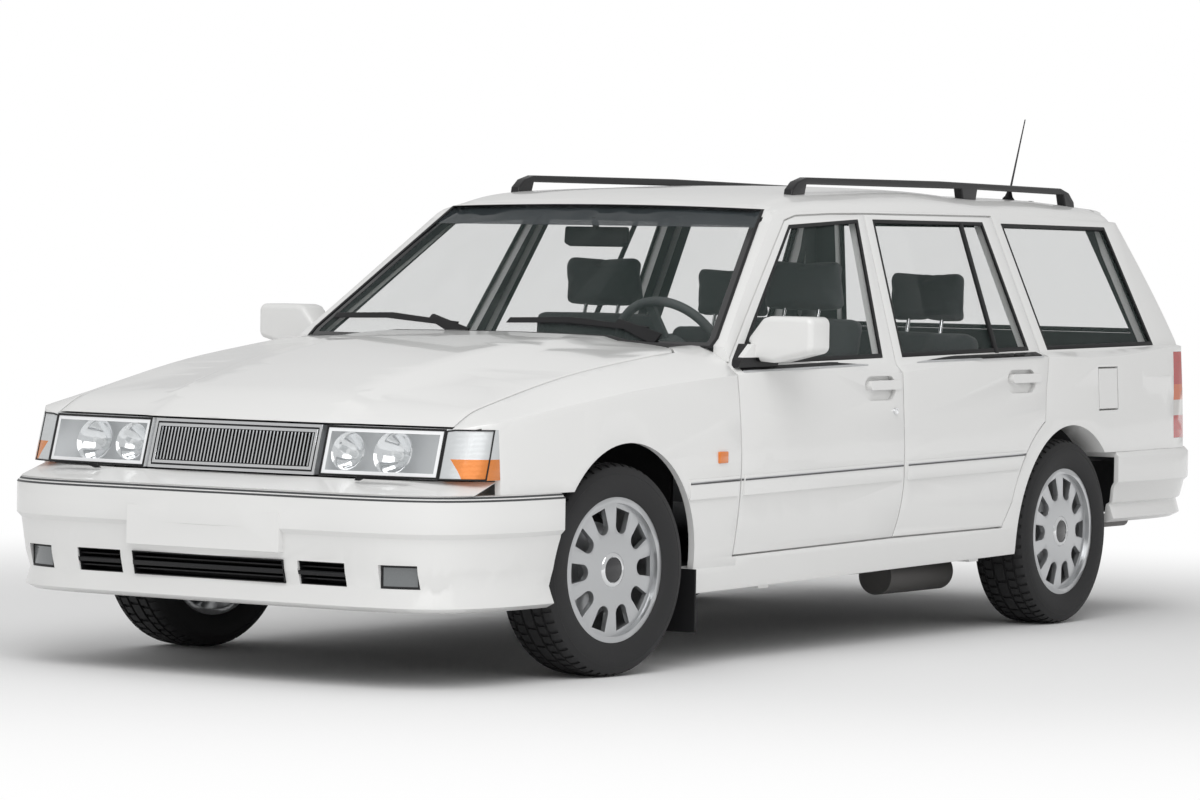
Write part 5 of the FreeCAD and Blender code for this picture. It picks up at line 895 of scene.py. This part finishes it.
SEAT_BASE = [(-0.394, 0.335), (-0.398, 0.400), (-0.360, 0.444), (0.030, 0.420), (0.112, 0.400),
             (0.108, 0.335)]
SEAT_BACK = [(0.044, 0.455), (0.203, 1.040), (0.268, 1.026), (0.156, 0.452)]
HEAD_REST = [(0.232, 1.062), (0.226, 1.196), (0.246, 1.226), (0.294, 1.216), (0.314, 1.066)]
RECLINER_PROFILE = [(0.236, 0, 0), (0.252, 0, 0), (0.252, 0, 0.034), (0.246, 0, 0.040), (0.236, 0, 0.040)]
SEATS = (("left", 0.390), ("right", -0.390))
base_foam = foam("seat_base_form", SEAT_BASE, 0.238, (0.150,), 0.014)
back_foam = foam("seat_back_form", SEAT_BACK, 0.236, (0.140,), 0.014)
rest_foam = foam("head_rest_form", HEAD_REST, 0.137, (), 0.009, voxel=0.007)
post = spun(drawn("post_form", [(0.0065, 0, 0), (0.0065, 0, 0.13)], closed=False), 20, (0, 0, 1))
recliner = spun(drawn("recliner_form", RECLINER_PROFILE, closed=False), 28, (1, 0, 0))
for side, x in SEATS:
    covered(base_foam, "seat_base_" + side, x, "seat_fabric", "body", "seat_front_" + side)
    covered(back_foam, "seat_back_" + side, x, "seat_fabric", "body")
    covered(rest_foam, "head_rest_" + side, x, "seat_fabric", "body")
    posted(post, "post", side, x, 0.2335, 1.000, -18)
    runner = drawn("runner_" + side, [(x - 0.165, -0.336, 0.2605), (x - 0.165, 0.092, 0.2605),
                                      (x - 0.150, 0.080, 0.345), (x - 0.150, -0.320, 0.345)])
    extruded(runner, (0.32, 0, 0))
    given(rolled(runner, 0.006), trim_plastic, "interior_plastic", "body")
    place = Matrix.Translation((x, 0.075, 0.430)) @ facing_out(x)
    given(placed_copy(recliner, "recliner_knob_" + side, place), trim_plastic, "interior_plastic", "body")
for form in (base_foam, back_foam, rest_foam, recliner):
    bpy.data.objects.remove(form)

# The rear bench: a cushion and a backrest across the car, of the same foam and cover, with seams
# that part three places, and two headrests on posts. It rests on the floor and the luggage floor.
BENCH_BASE = [(0.577, 0.340), (0.570, 0.430), (0.607, 0.482), (0.850, 0.474), (0.905, 0.468), (0.908, 0.340)]
BENCH_BACK = [(0.872, 0.500), (1.022, 0.990), (1.108, 0.968), (1.046, 0.572), (0.945, 0.572)]
BENCH_REST = [(1.060, 1.026), (1.060, 1.166), (1.078, 1.190), (1.124, 1.178), (1.130, 1.020)]
BENCH_SEAMS = (0, 0.20, 0.42)
bench_foam = foam("bench_base_form", BENCH_BASE, 0.602, BENCH_SEAMS, 0.013, voxel=0.012)
bench_back = foam("bench_back_form", BENCH_BACK, 0.602, BENCH_SEAMS, 0.013, voxel=0.012)
bench_rest = foam("bench_rest_form", BENCH_REST, 0.134, (), 0.009, voxel=0.007)
covered(bench_foam, "bench_base", 0, "seat_fabric", "body", "rear_seat")
covered(bench_back, "bench_back", 0, "seat_fabric", "body")
for side, x in SEATS:
    covered(bench_rest, "bench_head_rest_" + side, x, "seat_fabric", "body")
    posted(post, "bench_post", side, x, 1.0600, 0.950, -15)
for form in (bench_foam, bench_back, bench_rest, post):
    bpy.data.objects.remove(form)

# The dashboard with its instrument hood, and the steering wheel: foam with a grained dark skin, the
# one bolted to the bulkhead, the other to its column.
dressed("dashboard", trim_plastic, "interior_plastic", edge=0.008)
dressed("steering_wheel", trim_plastic, "black_plastic", edge=0.003)

# The mirror inside: a rounded black plastic housing on a short stem, which is glued to the
# windscreen near its top edge.
INSIDE_MIRROR = [(-0.122, -0.372, 1.268), (-0.118, -0.372, 1.322), (0.118, -0.372, 1.322),
                 (0.122, -0.372, 1.268), (0.100, -0.372, 1.258), (-0.100, -0.372, 1.258)]
MIRROR_STEM = [(-0.010, -0.392, 1.306), (0.010, -0.392, 1.306), (0.008, -0.408, 1.352),
               (-0.008, -0.408, 1.352)]
inside_mirror = extruded(drawn("inside_mirror", INSIDE_MIRROR), (0, -0.022, 0))
given(rolled(inside_mirror, 0.007, steps=3), dark_plastic, "black_plastic", "body")
stem = extruded(drawn("mirror_stem", MIRROR_STEM), (0, 0.014, 0.004))
given(rolled(stem, 0.003), dark_plastic, "black_plastic", "body")

# Under the body and under the hood: the engine bay, arms, rear axle and tank of pressed steel with
# sprayed underseal, the cast engine block on its mounts, the knuckles, and the bare steel exhaust,
# which hangs from the floor in rubber rings.
underseal = finish("underseal", (0.022, 0.022, 0.023), 0.8, grain=0.6, scale=250)
bare_steel = finish("bare_steel", (0.16, 0.155, 0.15), 0.55, metal=0.6, grain=0.3, scale=120)
cast_iron = finish("cast_iron", (0.10, 0.10, 0.10), 0.7, metal=0.4, grain=0.6, scale=300)
for node, material, slot, edge in (
        ("engine_bay", underseal, "underbody", 0.003), ("engine_block", cast_iron, "cast", 0.012),
        ("front_suspension", underseal, "steel", 0.003), ("rear_axle", underseal, "steel", 0.003),
        ("exhaust", bare_steel, "steel", 0.006), ("fuel_tank", underseal, "black_metal", 0.010),
        ("knuckle_left", cast_iron, "cast", 0.002), ("knuckle_right", cast_iron, "cast", 0.002)):
    dressed(node, material, slot, edge=edge)

# The studio: a pale floor that fades into a white background, soft white light from all round with
# one large lamp above, and the camera at the photograph's place.
FADE_START = 2.2
FADE_END = 5.5
bpy.ops.mesh.primitive_plane_add(size=60, location=(0, 0, 0))
floor = bpy.context.active_object
floor.name = "floor"
floor_finish = bpy.data.materials.new("pale_floor")
floor_finish.use_nodes = True
nodes = floor_finish.node_tree.nodes
links = floor_finish.node_tree.links
nodes["Principled BSDF"].inputs["Base Color"].default_value = (0.90, 0.90, 0.90, 1)
nodes["Principled BSDF"].inputs["Roughness"].default_value = 0.8
spot = nodes.new("ShaderNodeTexCoord")
distance = nodes.new("ShaderNodeVectorMath")
distance.operation = "LENGTH"
links.new(spot.outputs["Object"], distance.inputs[0])
fade = nodes.new("ShaderNodeMapRange")
fade.interpolation_type = "SMOOTHSTEP"
fade.inputs["From Min"].default_value = FADE_START
fade.inputs["From Max"].default_value = FADE_END
links.new(distance.outputs["Value"], fade.inputs["Value"])
white = nodes.new("ShaderNodeEmission")
white.inputs["Color"].default_value = (1, 1, 1, 1)
blend = nodes.new("ShaderNodeMixShader")
links.new(fade.outputs["Result"], blend.inputs["Fac"])
links.new(nodes["Principled BSDF"].outputs["BSDF"], blend.inputs[1])
links.new(white.outputs["Emission"], blend.inputs[2])
links.new(blend.outputs["Shader"], nodes["Material Output"].inputs["Surface"])
floor.data.materials.append(floor_finish)

world = bpy.data.worlds.new("studio")
bpy.context.scene.world = world
world.use_nodes = True
nodes = world.node_tree.nodes
links = world.node_tree.links
nodes["Background"].inputs["Color"].default_value = (1, 1, 1, 1)
ray = nodes.new("ShaderNodeLightPath")
seen = nodes.new("ShaderNodeMapRange")
seen.inputs["To Min"].default_value = 0.62
seen.inputs["To Max"].default_value = 1.0
links.new(ray.outputs["Is Camera Ray"], seen.inputs["Value"])
links.new(seen.outputs["Result"], nodes["Background"].inputs["Strength"])

bpy.ops.object.light_add(type="AREA", location=(4, -6, 7))
key = bpy.context.active_object
key.data.energy = 350
key.data.size = 6
key.rotation_euler = (Vector((0, 0, 0.5)) - key.location).to_track_quat("-Z", "Y").to_euler()

bpy.ops.object.camera_add()
camera = bpy.context.active_object
camera.matrix_world = (Matrix.Translation((8.570, -13.506, 1.272))
                       @ Matrix.Rotation(math.radians(33.08), 4, "Z")
                       @ Matrix.Rotation(math.radians(90 - 1.85), 4, "X")
                       @ Matrix.Rotation(math.radians(0.93), 4, "Z"))
camera.data.lens = 146.46
camera.data.clip_end = 200
bpy.context.scene.camera = camera
bpy.context.scene.view_settings.view_transform = "Standard"
